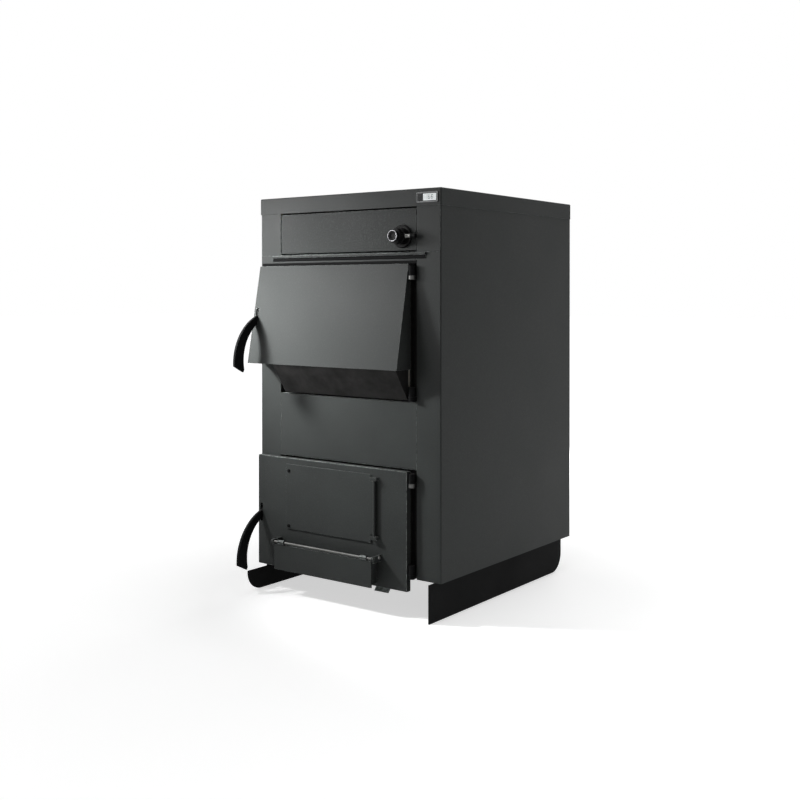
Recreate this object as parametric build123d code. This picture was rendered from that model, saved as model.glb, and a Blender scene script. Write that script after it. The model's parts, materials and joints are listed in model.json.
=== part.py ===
from build123d import *
import math
import os

# A solid-fuel boiler with a sheet casing on two skid legs, a sloping loading door and an ash door.
# Sizes are in millimetres. X runs to the right, Y to the rear and Z up.
# Everything is drawn with Y = 0 at the casing's front face and Z = 0 at its lower edge. At the end
# it is moved so that the origin lies on the floor, under the middle of the object's outline.

# Casing
CASING_WIDTH = 600.0
CASING_DEPTH = 660.0
CASING_HEIGHT = 962.0
SHEET = 1.5
SHEET_GAP = 0.3
FOLD_RADIUS = 3.0
COVER_LIP = 43.0
STILE_WIDTH = 74.0
PANEL_GAP = 1.5
CONTROL_PANEL_RECESS = 1.0
CONTROL_PANEL_LAP = 4.5

# Front, from the top down
FASCIA_HEIGHT = 156.0
LEDGE_HEIGHT = 13.0
LEDGE_LENGTH = 508.0
LEDGE_PROUD = 6.0
HEADER_DROP = 28.0
LOADING_COVER_HEIGHT = 261.0
ASH_DOOR_TOP = 266.0
ASH_DOOR_HEIGHT = 296.0
DOOR_PANEL_GAP = 2.0

# Welded body
BODY_FRONT = 20.0
FRONT_PLATE = 8.0
FLOOR_PLATE = 8.0
SIDE_SPACE = 45.0
REAR_SPACE = 40.0
TOP_SPACE = 58.0
JACKET_PLATE = 4.0
FIREBOX_SIDE_GAP = 55.0
FIREBOX_REAR_GAP = 30.0
FIREBOX_ROOF_GAP = 104.0
FIREBOX_PLATE = 5.0
POCKET_DEPTH = 28.0
POCKET_WALL = 4.0
FRONT_POCKET_PASS = 110.0
GAS_PASS = 48.0
REAR_POCKET_GAP = 62.0
REAR_POCKET_BOTTOM = 330.0

# Doorways and the frames round them
DOORWAY_SIDE_SETBACK = 7.0
FRAME_WALL = 10.0
FRAME_FRONT = 6.0
LOADING_DOORWAY_DROP = 14.0
LOADING_DOORWAY_HEIGHT = 313.0
ASH_DOORWAY_BOTTOM = 12.0
ASH_DOORWAY_DROP = 18.0

# Grate and ash pan
GRATE_RAIL_WIDTH = 15.0
GRATE_RAIL_HEIGHT = 12.0
GRATE_RISE = 9.0
GRATE_BAR_WIDTH = 22.0
GRATE_BAR_HEIGHT = 25.0
GRATE_BAR_PITCH = 42.0
GRATE_FRONT = 45.0
ASH_PAN_SIDE_GAP = 20.0
ASH_PAN_REAR_GAP = 19.0
ASH_PAN_FRONT = 40.0
ASH_PAN_HEIGHT = 80.0
ASH_PAN_SHEET = 2.0
ASH_PAN_GRIP_WIDTH = 120.0
ASH_PAN_GRIP_DEPTH = 10.0

# Doors, shared sizes
DOOR_SHEET = 2.0
DOOR_SIDE_INSET = 7.5
DOOR_FLANGE_REAR = 2.0
DOOR_FOLD_RADIUS = 1.5
HINGE_INSET = 9.0
HINGE_Y = -8.0
HINGE_PIN_RADIUS = 5.0
HINGE_EYE_RADIUS = 8.0
HINGE_EYE_HEIGHT = 24.0
HINGE_EYE_DROP = 29.0
HINGE_LUG_HEIGHT = 10.0
HINGE_LUG_WIDTH = 12.0
HINGE_EDGE_GAP = 0.5
HINGE_FACE_GAP = 0.3
RUNNING_GAP = 0.05
TIGHT_GAP = 0.02
DOOR_PLATE = 4.0
DOOR_PLATE_REAR = -2.5
GASKET_WIDTH = 13.0
GASKET_GAP = 0.3
BLOCK_SETBACK = 9.0
BLOCK_REAR = 16.0

# Loading door
COVER_TOP_REACH = 10.0
COVER_LIP_REACH = 60.0
COVER_LIP_FOLD = 12.0
LOADING_BOX_SHEET = 3.0
LOADING_WOOL_GAP = 0.3
LOADING_LOWER_EYE_RISE = 9.0

# Ash door
ASH_DOOR_THICKNESS = 18.0
ASH_LOWER_EYE_RISE = 42.0
FOOT_TAB_INSET = 73.5
FOOT_TAB_WIDTH = 44.0
FOOT_TAB_DROP = 9.0
FOOT_TAB_REACH = 9.0

# Raking hatch on the ash door
HATCH_LEFT_INSET = 104.5
HATCH_ROD_INSET = 96.5
HATCH_TOP_DROP = 16.0
HATCH_HEIGHT = 172.0
HATCH_SHEET = 3.0
HATCH_ROD_RADIUS = 3.5
HATCH_ROD_SUNK = 1.0
HATCH_LUG_WIDTH = 21.0
HATCH_LUG_HEIGHT = 8.0
HATCH_LUG_REACH = 12.0
HATCH_LUG_INSET = 6.0
HATCH_LUG_RISE = 10.0
HATCH_CORNER_GAP = 3.0
HATCH_HOLE_LEFT_INSET = 28.0
HATCH_HOLE_RIGHT_INSET = 32.0
HATCH_HOLE_DROP = 28.0
HATCH_HOLE_RISE = 30.0
HATCH_SCREW_INSET = 10.0
HATCH_SCREW_RISE = 8.0
HATCH_SCREW_DROP = 18.0
HATCH_SCREW_RADIUS = 2.5
HATCH_SCREW_HEAD_RADIUS = 4.5
HATCH_SCREW_HEAD = 3.0
HATCH_SCREW_LENGTH = 5.0
HATCH_SCREW_GAP = 0.6

# Air box and flap on the ash door
DUCT_LEFT_INSET = 94.5
DUCT_RIGHT_INSET = 92.5
DUCT_HEIGHT = 60.0
DUCT_REACH = 28.0
DUCT_WALL = 3.0
FLAP_OVERHANG = 6.0
FLAP_DROP = 5.0
FLAP_RISE = 2.0
FLAP_SHEET = 4.0
FLAP_ROD_RADIUS = 3.0
FLAP_ROD_RISE = 8.0
FLAP_TAB_WIDTH = 20.0
FLAP_TAB_INSET = 14.0
FLAP_TAB_RADIUS = 6.0
FLAP_EAR_WIDTH = 6.0
FLAP_EAR_GAP = 2.0
FLAP_EAR_RADIUS = 6.0
AIR_SLOT_SIDE_INSET = 13.0
AIR_SLOT_RISE = 7.0
AIR_SLOT_HEIGHT = 12.0
AIR_SLOT_DUCT_GAP = 7.0

# Levers and latches
LEVER_INSET = 7.5
LEVER_THICKNESS = 8.0
LEVER_EDGE_RADIUS = 1.6
LEVER_REACH = 103.0
LEVER_OUTER_RADIUS = 135.8
LEVER_OUTER_DROP = 130.0
LEVER_INNER_RADIUS = 116.0
LEVER_INNER_REACH = 69.0
LEVER_INNER_DROP = 123.0
LEVER_FRONT_CORNER = 137.0
LEVER_TIP_DROP = 154.0
LEVER_TIP_SETBACK = 33.0
LEVER_REAR_CORNER = 147.0
LEVER_ROOT_DROP = 20.0
LEVER_BOSS_RADIUS = 7.0
LEVER_NECK_REACH = 3.5
LEVER_NECK_DROP = 5.6
LEVER_BOLT_RADIUS = 4.0
LEVER_SIDE_GAP = 1.0
LEVER_SLOT_RISE = 16.0
LEVER_SLOT_DROP = 32.0
LOADING_PIVOT_Y = -20.0
LOADING_PIVOT_DROP = 130.0
ASH_PIVOT_Y = -8.0
ASH_PIVOT_DROP = 148.0
EAR_THICKNESS = 4.0
EAR_HALF_HEIGHT = 10.0
EAR_REAR_MARGIN = 7.0
TONGUE_FRAME_GAP = 8.0
TONGUE_THICKNESS = 6.0
TONGUE_HALF_HEIGHT = 5.0
TONGUE_END_GAP = 2.0
KEEPER_PIN_RADIUS = 4.0
KEEPER_PIN_SETBACK = 8.0
KEEPER_PIN_BEVEL = 1.0
KEEPER_GAP = 0.5

# Draught regulator
REGULATOR_INSET = 44.0
REGULATOR_RISE = 40.0
ESCUTCHEON_RADIUS = 29.0
ESCUTCHEON_THICKNESS = 6.0
STEM_RADIUS = 13.0
STEM_NECK_RADIUS = 8.0
ARM_RING_RADIUS = 20.0
ARM_RING_LENGTH = 14.0
ARM_STUB_RADIUS = 6.0
ARM_STUB_REACH = 50.0
GRIP_RADIUS = 19.0
GRIP_LENGTH = 13.0
GRIP_FLUTE_COUNT = 24
GRIP_FLUTE_RADIUS = 1.3
NOSE_RADIUS = 14.0
NOSE_BORE_RADIUS = 9.5
NOSE_LENGTH = 10.0
REGULATOR_FACE_GAP = 0.5

# Display on the cover's lip
DISPLAY_INSET = 9.0
DISPLAY_WIDTH = 63.0
DISPLAY_RISE = 5.5
DISPLAY_HEIGHT = 30.5
DISPLAY_PROUD = 3.0
DISPLAY_BORDER = 4.0
DISPLAY_WINDOW_DEPTH = 1.5
DISPLAY_SCREEN_THICKNESS = 0.75

# Flue collar and damper
FLUE_RADIUS = 75.0
FLUE_BORE_RADIUS = 72.0
FLUE_STEP = 1.0
FLUE_DROP = 85.0
FLUE_REACH = 110.0
SPIGOT_LENGTH = 44.0
FLUE_HOLE_GAP = 0.3
DAMPER_GAP = 3.0
DAMPER_PLATE = 3.0
DAMPER_BEHIND_CASING = 30.0
SPINDLE_RADIUS = 5.0
SPINDLE_OVERHANG = 24.0
DAMPER_LEVER_WIDTH = 14.0
DAMPER_LEVER_THICKNESS = 5.0
DAMPER_LEVER_LENGTH = 70.0
DAMPER_LEVER_GAP = 10.0

# Water sockets on the rear
SOCKET_REACH = 15.0
SOCKET_CASING_GAP = 2.0
SOCKET_INLET_STEP = 2.5
FLOW_BORE_RADIUS = 22.4
FLOW_SOCKET_RADIUS = 29.0
FLOW_INSET = 105.0
FLOW_DROP = 104.0
RETURN_Z = 90.0
DRAIN_BORE_RADIUS = 9.3
DRAIN_SOCKET_RADIUS = 14.0
DRAIN_INSET = 105.0
DRAIN_Z = 60.0

# Insulation and casing supports
WOOL_START = 30.0
WOOL_TOP_HEIGHT = 46.0
RAIL_THICKNESS = 2.0
RAIL_START = 40.0
RAIL_END_GAP = 20.0

# Skid legs
LEG_HEIGHT = 95.0
LEG_OVERLENGTH = 2.0
LEG_SHEET = 4.0
LEG_INSET = 18.0
LEG_FLANGE_LAP = 33.0
LEG_CORNER_RADIUS = 50.0
LEG_TOE_HEIGHT = 55.0
LEG_TOE_END = 2.0
LEFT_LEG_START = -72.0
RIGHT_LEG_START = -25.0
LEG_BOLT_RADIUS = 6.0
LEG_BOLT_GAP = 0.3
LEG_BOLT_INSET = 17.0
LEG_BOLT_HEAD = 7.0
LEG_BOLT_HEAD_RADIUS = 9.5
LEG_BOLT_FRONT_Y = 70.0
LEG_BOLT_REAR_GAP = 60.0
LEG_BOLT_END_GAP = 1.0

# Rear panel screws
REAR_SCREW_RADIUS = 2.0
REAR_SCREW_HEAD_RADIUS = 4.5
REAR_SCREW_HEAD = 2.5
REAR_SCREW_LENGTH = 8.0
REAR_SCREW_INSET = 20.0
REAR_SCREW_ROWS = 4
REAR_SCREW_MARGIN = 60.0
SCREW_HOLE_GAP = 0.1

# Cuts run past the faces that they open
CUT = 1.0

# Worked out from the sizes above
HALF_WIDTH = CASING_WIDTH / 2
PANEL_X = HALF_WIDTH - SHEET - SHEET_GAP
PANEL_INSIDE_X = PANEL_X - SHEET - SHEET_GAP
OPENING_X = HALF_WIDTH - STILE_WIDTH
COVER_BOTTOM = CASING_HEIGHT - COVER_LIP
PANEL_TOP = CASING_HEIGHT - SHEET - SHEET_GAP
FASCIA_BOTTOM = CASING_HEIGHT - FASCIA_HEIGHT
LOADING_DOOR_TOP = FASCIA_BOTTOM - HEADER_DROP
LOADING_LIP_Z = LOADING_DOOR_TOP - LOADING_COVER_HEIGHT
ASH_DOOR_BOTTOM = ASH_DOOR_TOP - ASH_DOOR_HEIGHT
RETURN_REAR = BODY_FRONT - SHEET_GAP
BODY_INSIDE = BODY_FRONT + FRONT_PLATE
JACKET_HALF_WIDTH = HALF_WIDTH - SIDE_SPACE
JACKET_REAR = CASING_DEPTH - REAR_SPACE
JACKET_TOP = CASING_HEIGHT - TOP_SPACE
FIREBOX_HALF_WIDTH = JACKET_HALF_WIDTH - FIREBOX_SIDE_GAP
FIREBOX_REAR = JACKET_REAR - FIREBOX_REAR_GAP
FIREBOX_ROOF = JACKET_TOP - FIREBOX_ROOF_GAP
REAR_POCKET_Y = FIREBOX_REAR - REAR_POCKET_GAP - POCKET_DEPTH
FRONT_POCKET_Y = REAR_POCKET_Y - GAS_PASS - POCKET_DEPTH
FRONT_POCKET_TOP = FIREBOX_ROOF - FRONT_POCKET_PASS
DOORWAY_HALF_WIDTH = FIREBOX_HALF_WIDTH - DOORWAY_SIDE_SETBACK
SEAT_HALF_WIDTH = DOORWAY_HALF_WIDTH + FRAME_WALL
LOADING_DOORWAY_TOP = LOADING_DOOR_TOP - LOADING_DOORWAY_DROP
LOADING_DOORWAY_BOTTOM = LOADING_DOORWAY_TOP - LOADING_DOORWAY_HEIGHT
ASH_DOORWAY_TOP = ASH_DOOR_TOP - ASH_DOORWAY_DROP
LOADING_SEAT_BOTTOM = LOADING_DOORWAY_BOTTOM - FRAME_WALL
LOADING_SEAT_TOP = LOADING_DOORWAY_TOP + FRAME_WALL
ASH_SEAT_BOTTOM = ASH_DOORWAY_BOTTOM - FRAME_WALL
ASH_SEAT_TOP = ASH_DOORWAY_TOP + FRAME_WALL
GRATE_TOP = ASH_DOOR_TOP + GRATE_RISE
GRATE_BAR_COUNT = int((FRONT_POCKET_Y - GRATE_FRONT - GRATE_BAR_WIDTH) // GRATE_BAR_PITCH) + 1
ASH_PAN_HALF_WIDTH = FIREBOX_HALF_WIDTH - ASH_PAN_SIDE_GAP
ASH_PAN_REAR = FRONT_POCKET_Y - ASH_PAN_REAR_GAP
HINGE_X = OPENING_X - HINGE_INSET
DOOR_RIGHT = HINGE_X - HINGE_EYE_RADIUS - HINGE_EDGE_GAP
DOOR_LEFT = -HALF_WIDTH + DOOR_SIDE_INSET
DOOR_PLATE_FRONT = DOOR_PLATE_REAR - DOOR_PLATE
LOADING_LOWER_EYE_Z = LOADING_SEAT_BOTTOM + LOADING_LOWER_EYE_RISE
LOADING_UPPER_EYE_Z = LOADING_DOOR_TOP - HINGE_EYE_DROP
ASH_LOWER_EYE_Z = ASH_DOOR_BOTTOM + ASH_LOWER_EYE_RISE
ASH_UPPER_EYE_Z = ASH_DOOR_TOP - HINGE_EYE_DROP
COVER_SLOPE = (COVER_LIP_REACH - COVER_TOP_REACH) / LOADING_COVER_HEIGHT
COVER_SLANT = math.hypot(1.0, COVER_SLOPE)
ASH_FACE = -ASH_DOOR_THICKNESS
FOOT_TAB_X = DOOR_RIGHT - FOOT_TAB_INSET
HATCH_LEFT = DOOR_LEFT + HATCH_LEFT_INSET
HATCH_ROD_X = DOOR_RIGHT - HATCH_ROD_INSET
HATCH_TOP = ASH_DOOR_TOP - HATCH_TOP_DROP
HATCH_BOTTOM = HATCH_TOP - HATCH_HEIGHT
HATCH_HOLE_LEFT = HATCH_LEFT + HATCH_HOLE_LEFT_INSET
HATCH_HOLE_RIGHT = HATCH_ROD_X - HATCH_HOLE_RIGHT_INSET
HATCH_HOLE_BOTTOM = HATCH_BOTTOM + HATCH_HOLE_RISE
HATCH_HOLE_TOP = HATCH_TOP - HATCH_HOLE_DROP
HATCH_FRONT = ASH_FACE - SHEET_GAP - HATCH_SHEET
HATCH_ROD_Y = HATCH_FRONT - HATCH_ROD_RADIUS + HATCH_ROD_SUNK
DUCT_LEFT = DOOR_LEFT + DUCT_LEFT_INSET
DUCT_RIGHT = DOOR_RIGHT - DUCT_RIGHT_INSET
AIR_SLOT_BOTTOM = ASH_DOORWAY_BOTTOM + AIR_SLOT_RISE
AIR_SLOT_TOP = AIR_SLOT_BOTTOM + AIR_SLOT_HEIGHT
DUCT_TOP = AIR_SLOT_TOP + AIR_SLOT_DUCT_GAP
DUCT_BOTTOM = DUCT_TOP - DUCT_HEIGHT
DUCT_FRONT = ASH_FACE - DUCT_REACH
AIR_SLOT_LEFT = DUCT_LEFT + AIR_SLOT_SIDE_INSET
FLAP_BACK = DUCT_FRONT - SHEET_GAP
FLAP_FRONT = FLAP_BACK - FLAP_SHEET
FLAP_TOP = DUCT_TOP + FLAP_RISE
FLAP_ROD_Y = (FLAP_FRONT + FLAP_BACK) / 2
FLAP_ROD_Z = DUCT_TOP + FLAP_ROD_RISE
LOADING_PIVOT_Z = LOADING_DOOR_TOP - LOADING_PIVOT_DROP
ASH_PIVOT_Z = ASH_DOOR_TOP - ASH_PIVOT_DROP
LEVER_LEFT = DOOR_LEFT + LEVER_INSET
LEVER_RIGHT = LEVER_LEFT + LEVER_THICKNESS
TONGUE_RIGHT = -SEAT_HALF_WIDTH - TONGUE_FRAME_GAP
TONGUE_LEFT = TONGUE_RIGHT - TONGUE_THICKNESS
TONGUE_END_Y = BODY_FRONT - TONGUE_END_GAP
KEEPER_PIN_Y = BODY_FRONT - KEEPER_PIN_SETBACK
REGULATOR_X = OPENING_X - REGULATOR_INSET
REGULATOR_Z = FASCIA_BOTTOM + REGULATOR_RISE
REGULATOR_FACE = CONTROL_PANEL_RECESS
ESCUTCHEON_FRONT = REGULATOR_FACE - ESCUTCHEON_THICKNESS
ARM_RING_FRONT = ESCUTCHEON_FRONT - REGULATOR_FACE_GAP - ARM_RING_LENGTH
GRIP_FRONT = ARM_RING_FRONT - REGULATOR_FACE_GAP - GRIP_LENGTH
NOSE_FRONT = GRIP_FRONT - NOSE_LENGTH
DISPLAY_RIGHT = HALF_WIDTH - DISPLAY_INSET
DISPLAY_LEFT = DISPLAY_RIGHT - DISPLAY_WIDTH
DISPLAY_BOTTOM = COVER_BOTTOM + DISPLAY_RISE
DISPLAY_TOP = DISPLAY_BOTTOM + DISPLAY_HEIGHT
DISPLAY_REAR = -SHEET - SHEET_GAP
DISPLAY_FRONT = DISPLAY_REAR - DISPLAY_PROUD
FLUE_Z = FIREBOX_ROOF - FLUE_DROP
FLUE_NECK_RADIUS = FLUE_RADIUS - FLUE_STEP
FLUE_END = CASING_DEPTH + FLUE_REACH
DAMPER_Y = CASING_DEPTH + DAMPER_BEHIND_CASING
SOCKET_END = CASING_DEPTH + SOCKET_REACH
FLOW_X = -JACKET_HALF_WIDTH + FLOW_INSET
FLOW_Z = JACKET_TOP - FLOW_DROP
DRAIN_X = JACKET_HALF_WIDTH - DRAIN_INSET
LEG_X = HALF_WIDTH - LEG_INSET
LEG_LENGTH = CASING_DEPTH + LEG_OVERLENGTH
LEG_BOLT_X = JACKET_HALF_WIDTH - LEG_BOLT_INSET
LEG_BOLT_REAR_Y = JACKET_REAR - LEG_BOLT_REAR_GAP
REAR_SCREW_X = HALF_WIDTH - REAR_SCREW_INSET
FRONT_REACH = LEVER_REACH - LOADING_PIVOT_Y
FRONT_FACE_Y = FRONT_REACH - (FRONT_REACH + FLUE_END) / 2


def block(x0, x1, y0, y1, z0, z1):
    """A box between two corners."""
    return Pos((x0 + x1) / 2, (y0 + y1) / 2, (z0 + z1) / 2) * Box(x1 - x0, y1 - y0, z1 - z0)


def rod_along_x(x0, x1, y, z, radius):
    return Pos((x0 + x1) / 2, y, z) * Rot(0, 90, 0) * Cylinder(radius, x1 - x0)


def rod_along_y(x, y0, y1, z, radius):
    return Pos(x, (y0 + y1) / 2, z) * Rot(90, 0, 0) * Cylinder(radius, y1 - y0)


def rod_along_z(x, y, z0, z1, radius):
    return Pos(x, y, (z0 + z1) / 2) * Cylinder(radius, z1 - z0)


def slab_along_x(outline, x0, x1):
    """A flat shape drawn in Y and Z, given its width in X."""
    face = make_face(Polyline(*outline, close=True))
    return extrude(Plane.YZ.offset(x0) * face, x1 - x0)


def mirrored(shape):
    """The same piece for the other side of the boiler."""
    return mirror(shape, about=Plane.YZ)


def vertical_edge(shape, x, y):
    """The upright edge nearest to a corner in plan."""
    middle = shape.bounding_box().center().Z
    return shape.edges().filter_by(Axis.Z).sort_by_distance((x, y, middle))[0]


def cover_y(z, inset=0.0):
    """Depth of the loading door's sloping cover at a height, or of a face inset behind it."""
    return -COVER_TOP_REACH - COVER_SLOPE * (LOADING_DOOR_TOP - z) + inset * COVER_SLANT


def top_cover():
    shell = block(-HALF_WIDTH, HALF_WIDTH, -SHEET - SHEET_GAP, CASING_DEPTH + SHEET + SHEET_GAP,
                  COVER_BOTTOM, CASING_HEIGHT)
    rounded = shell.edges().filter_by(Axis.Z) + shell.faces().sort_by(Axis.Z)[-1].edges()
    shell = fillet(rounded, FOLD_RADIUS)
    hollow = block(-HALF_WIDTH + SHEET, HALF_WIDTH - SHEET, -SHEET_GAP, CASING_DEPTH + SHEET_GAP,
                   COVER_BOTTOM - CUT, CASING_HEIGHT - SHEET)
    return shell - hollow


def side_panel():
    """Right side sheet, folded round the front as a stile with a return towards the body."""
    outside = block(OPENING_X, PANEL_X, 0, CASING_DEPTH, 0, PANEL_TOP)
    outside = fillet(vertical_edge(outside, PANEL_X, 0), FOLD_RADIUS)
    inside = block(OPENING_X - CUT, PANEL_X - SHEET, SHEET, CASING_DEPTH + CUT, -CUT, PANEL_TOP + CUT)
    inside = fillet(vertical_edge(inside, PANEL_X - SHEET, SHEET), FOLD_RADIUS - SHEET)
    sheet = outside - inside
    sheet -= block(OPENING_X - CUT, PANEL_X - SHEET, -CUT, FOLD_RADIUS, FASCIA_BOTTOM, PANEL_TOP + CUT)
    sheet += block(OPENING_X, OPENING_X + SHEET, 0, RETURN_REAR, 0, FASCIA_BOTTOM)
    return sheet


def panel_with_returns(half_width, front, bottom, top):
    """A front sheet whose upper and lower edges are folded back to the body."""
    sheet = block(-half_width, half_width, front, front + SHEET, bottom, top)
    for low in (bottom, top - SHEET):
        sheet += block(-half_width, half_width, front, RETURN_REAR, low, low + SHEET)
    return sheet


def front_fascia():
    window_top = COVER_BOTTOM + CONTROL_PANEL_LAP + PANEL_GAP
    sheet = block(-PANEL_INSIDE_X, PANEL_INSIDE_X, 0, SHEET, FASCIA_BOTTOM, PANEL_TOP)
    sheet -= block(-OPENING_X, OPENING_X, -CUT, SHEET + CUT, FASCIA_BOTTOM + SHEET, window_top)
    sheet += block(-PANEL_INSIDE_X, PANEL_INSIDE_X, 0, RETURN_REAR, FASCIA_BOTTOM, FASCIA_BOTTOM + SHEET)
    return sheet


def control_panel():
    bottom = FASCIA_BOTTOM + SHEET + PANEL_GAP
    top = COVER_BOTTOM + CONTROL_PANEL_LAP
    sheet = panel_with_returns(OPENING_X - PANEL_GAP, CONTROL_PANEL_RECESS, bottom, top)
    hole_rear = CONTROL_PANEL_RECESS + SHEET + CUT
    return sheet - rod_along_y(REGULATOR_X, -CUT, hole_rear, REGULATOR_Z, STEM_RADIUS + SHEET_GAP)


def ledge_strip():
    bottom = FASCIA_BOTTOM - LEDGE_HEIGHT
    half = LEDGE_LENGTH / 2
    bar = block(-half, half, -LEDGE_PROUD, 0, bottom, FASCIA_BOTTOM)
    hollow = block(-half - CUT, half + CUT, -LEDGE_PROUD + SHEET, CUT, bottom + SHEET, FASCIA_BOTTOM - SHEET)
    return bar - hollow


def header_panel():
    half = OPENING_X - SHEET_GAP
    return panel_with_returns(half, 0, LOADING_DOOR_TOP + DOOR_PANEL_GAP, FASCIA_BOTTOM - SHEET_GAP)


def middle_panel():
    top = LOADING_SEAT_BOTTOM - DOOR_PANEL_GAP * 2
    return panel_with_returns(OPENING_X - SHEET_GAP, 0, ASH_DOOR_TOP + DOOR_PANEL_GAP, top)


def rear_holes(front, rear, gap):
    """Cutters for the flue and the water sockets, between two depths."""
    cutters = [rod_along_y(0, front, rear, FLUE_Z, FLUE_RADIUS + gap)]
    for x, z, radius in socket_places():
        cutters.append(rod_along_y(x, front, rear, z, radius + gap))
    return cutters


def socket_places():
    return [(FLOW_X, FLOW_Z, FLOW_SOCKET_RADIUS), (FLOW_X, RETURN_Z, FLOW_SOCKET_RADIUS),
            (DRAIN_X, DRAIN_Z, DRAIN_SOCKET_RADIUS)]


def rear_screw_places():
    step = (COVER_BOTTOM - 2 * REAR_SCREW_MARGIN) / (REAR_SCREW_ROWS - 1)
    return [(side * REAR_SCREW_X, REAR_SCREW_MARGIN + row * step)
            for side in (-1, 1) for row in range(REAR_SCREW_ROWS)]


def rear_panel():
    front = CASING_DEPTH - SHEET
    cut_front = front - CUT
    sheet = block(-PANEL_INSIDE_X, PANEL_INSIDE_X, front, CASING_DEPTH, RAIL_THICKNESS, PANEL_TOP)
    for cutter in rear_holes(cut_front, CASING_DEPTH + CUT, SOCKET_CASING_GAP):
        sheet -= cutter
    for x, z in rear_screw_places():
        sheet -= rod_along_y(x, cut_front, CASING_DEPTH + CUT, z, REAR_SCREW_RADIUS + SCREW_HOLE_GAP)
    return sheet


def rear_panel_screws():
    screws = []
    for x, z in rear_screw_places():
        head = rod_along_y(x, CASING_DEPTH, CASING_DEPTH + REAR_SCREW_HEAD, z, REAR_SCREW_HEAD_RADIUS)
        shank = rod_along_y(x, CASING_DEPTH - REAR_SCREW_LENGTH, CASING_DEPTH, z, REAR_SCREW_RADIUS)
        screws.append(head + shank)
    return screws


def insulation():
    """Mineral wool slabs between the water jacket and the casing."""
    rear = CASING_DEPTH - SHEET - SHEET_GAP
    side_rear = rear - REAR_SCREW_LENGTH
    right = block(JACKET_HALF_WIDTH + SHEET_GAP, PANEL_INSIDE_X, WOOL_START, side_rear,
                  WOOL_START, JACKET_TOP)
    back = block(-JACKET_HALF_WIDTH, JACKET_HALF_WIDTH, JACKET_REAR + SHEET_GAP, rear, WOOL_START, JACKET_TOP)
    for cutter in rear_holes(JACKET_REAR - CUT, CASING_DEPTH + CUT, SOCKET_CASING_GAP):
        back -= cutter
    top = block(-JACKET_HALF_WIDTH, JACKET_HALF_WIDTH, WOOL_START, JACKET_REAR, JACKET_TOP + SHEET_GAP,
                JACKET_TOP + WOOL_TOP_HEIGHT)
    return [right, mirrored(right), back, top]


def support_rails():
    """Ledges that carry the casing sides on the body's floor plate."""
    end = CASING_DEPTH - RAIL_END_GAP
    rail = block(JACKET_HALF_WIDTH, PANEL_INSIDE_X, RAIL_START, end, 0, RAIL_THICKNESS)
    return [rail, mirrored(rail)]


def display_window(front, rear, gap):
    """Room inside the display's border, or what fits in it with a gap all round."""
    inset = DISPLAY_BORDER + gap
    return block(DISPLAY_LEFT + inset, DISPLAY_RIGHT - inset, front, rear, DISPLAY_BOTTOM + inset,
                 DISPLAY_TOP - inset)


def display_housing():
    frame = block(DISPLAY_LEFT, DISPLAY_RIGHT, DISPLAY_FRONT, DISPLAY_REAR, DISPLAY_BOTTOM, DISPLAY_TOP)
    frame = fillet(frame.edges().filter_by(Axis.Y), DISPLAY_BORDER / 2)
    return frame - display_window(DISPLAY_FRONT - CUT, DISPLAY_FRONT + DISPLAY_WINDOW_DEPTH, 0)


def display_screen():
    rear = DISPLAY_FRONT + DISPLAY_WINDOW_DEPTH
    return display_window(rear - DISPLAY_SCREEN_THICKNESS, rear, SHEET_GAP)


def front_plate():
    plate = block(-JACKET_HALF_WIDTH, JACKET_HALF_WIDTH, BODY_FRONT, BODY_INSIDE, 0, JACKET_TOP)
    for bottom, top in doorways():
        plate -= doorway(BODY_FRONT - CUT, BODY_INSIDE + CUT, bottom, top)
    return plate


def doorways():
    return [(LOADING_DOORWAY_BOTTOM, LOADING_DOORWAY_TOP), (ASH_DOORWAY_BOTTOM, ASH_DOORWAY_TOP)]


def doorway(front, rear, bottom, top):
    return block(-DOORWAY_HALF_WIDTH, DOORWAY_HALF_WIDTH, front, rear, bottom, top)


def door_frame(bottom, top):
    """Raised frame that a door's gasket closes on."""
    low = bottom - FRAME_WALL
    high = top + FRAME_WALL
    frame = block(-SEAT_HALF_WIDTH, SEAT_HALF_WIDTH, FRAME_FRONT, BODY_FRONT, low, high)
    return frame - doorway(FRAME_FRONT - CUT, BODY_FRONT + CUT, bottom, top)


def floor_plate():
    plate = block(-JACKET_HALF_WIDTH, JACKET_HALF_WIDTH, BODY_INSIDE, JACKET_REAR, 0, FLOOR_PLATE)
    for x, y in leg_bolt_places():
        plate -= rod_along_z(x, y, -CUT, FLOOR_PLATE + CUT, LEG_BOLT_RADIUS + LEG_BOLT_GAP)
    return plate


def water_jacket():
    """Outer plates of the water jacket."""
    inner = JACKET_HALF_WIDTH - JACKET_PLATE
    lid_bottom = JACKET_TOP - JACKET_PLATE
    right = block(inner, JACKET_HALF_WIDTH, BODY_INSIDE, JACKET_REAR, FLOOR_PLATE, lid_bottom)
    rear = block(-inner, inner, JACKET_REAR - JACKET_PLATE, JACKET_REAR, FLOOR_PLATE, lid_bottom)
    cut_front = JACKET_REAR - JACKET_PLATE - CUT
    rear -= rod_along_y(0, cut_front, JACKET_REAR + CUT, FLUE_Z, FLUE_NECK_RADIUS + FLUE_HOLE_GAP)
    for x, z, radius in socket_inlets():
        rear -= rod_along_y(x, cut_front, JACKET_REAR + CUT, z, radius)
    lid = block(-JACKET_HALF_WIDTH, JACKET_HALF_WIDTH, BODY_INSIDE, JACKET_REAR, lid_bottom, JACKET_TOP)
    return [right, mirrored(right), rear, lid]


def socket_inlets():
    flow = FLOW_BORE_RADIUS - SOCKET_INLET_STEP
    drain = DRAIN_BORE_RADIUS - SOCKET_INLET_STEP
    return [(FLOW_X, FLOW_Z, flow), (FLOW_X, RETURN_Z, flow), (DRAIN_X, DRAIN_Z, drain)]


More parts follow.
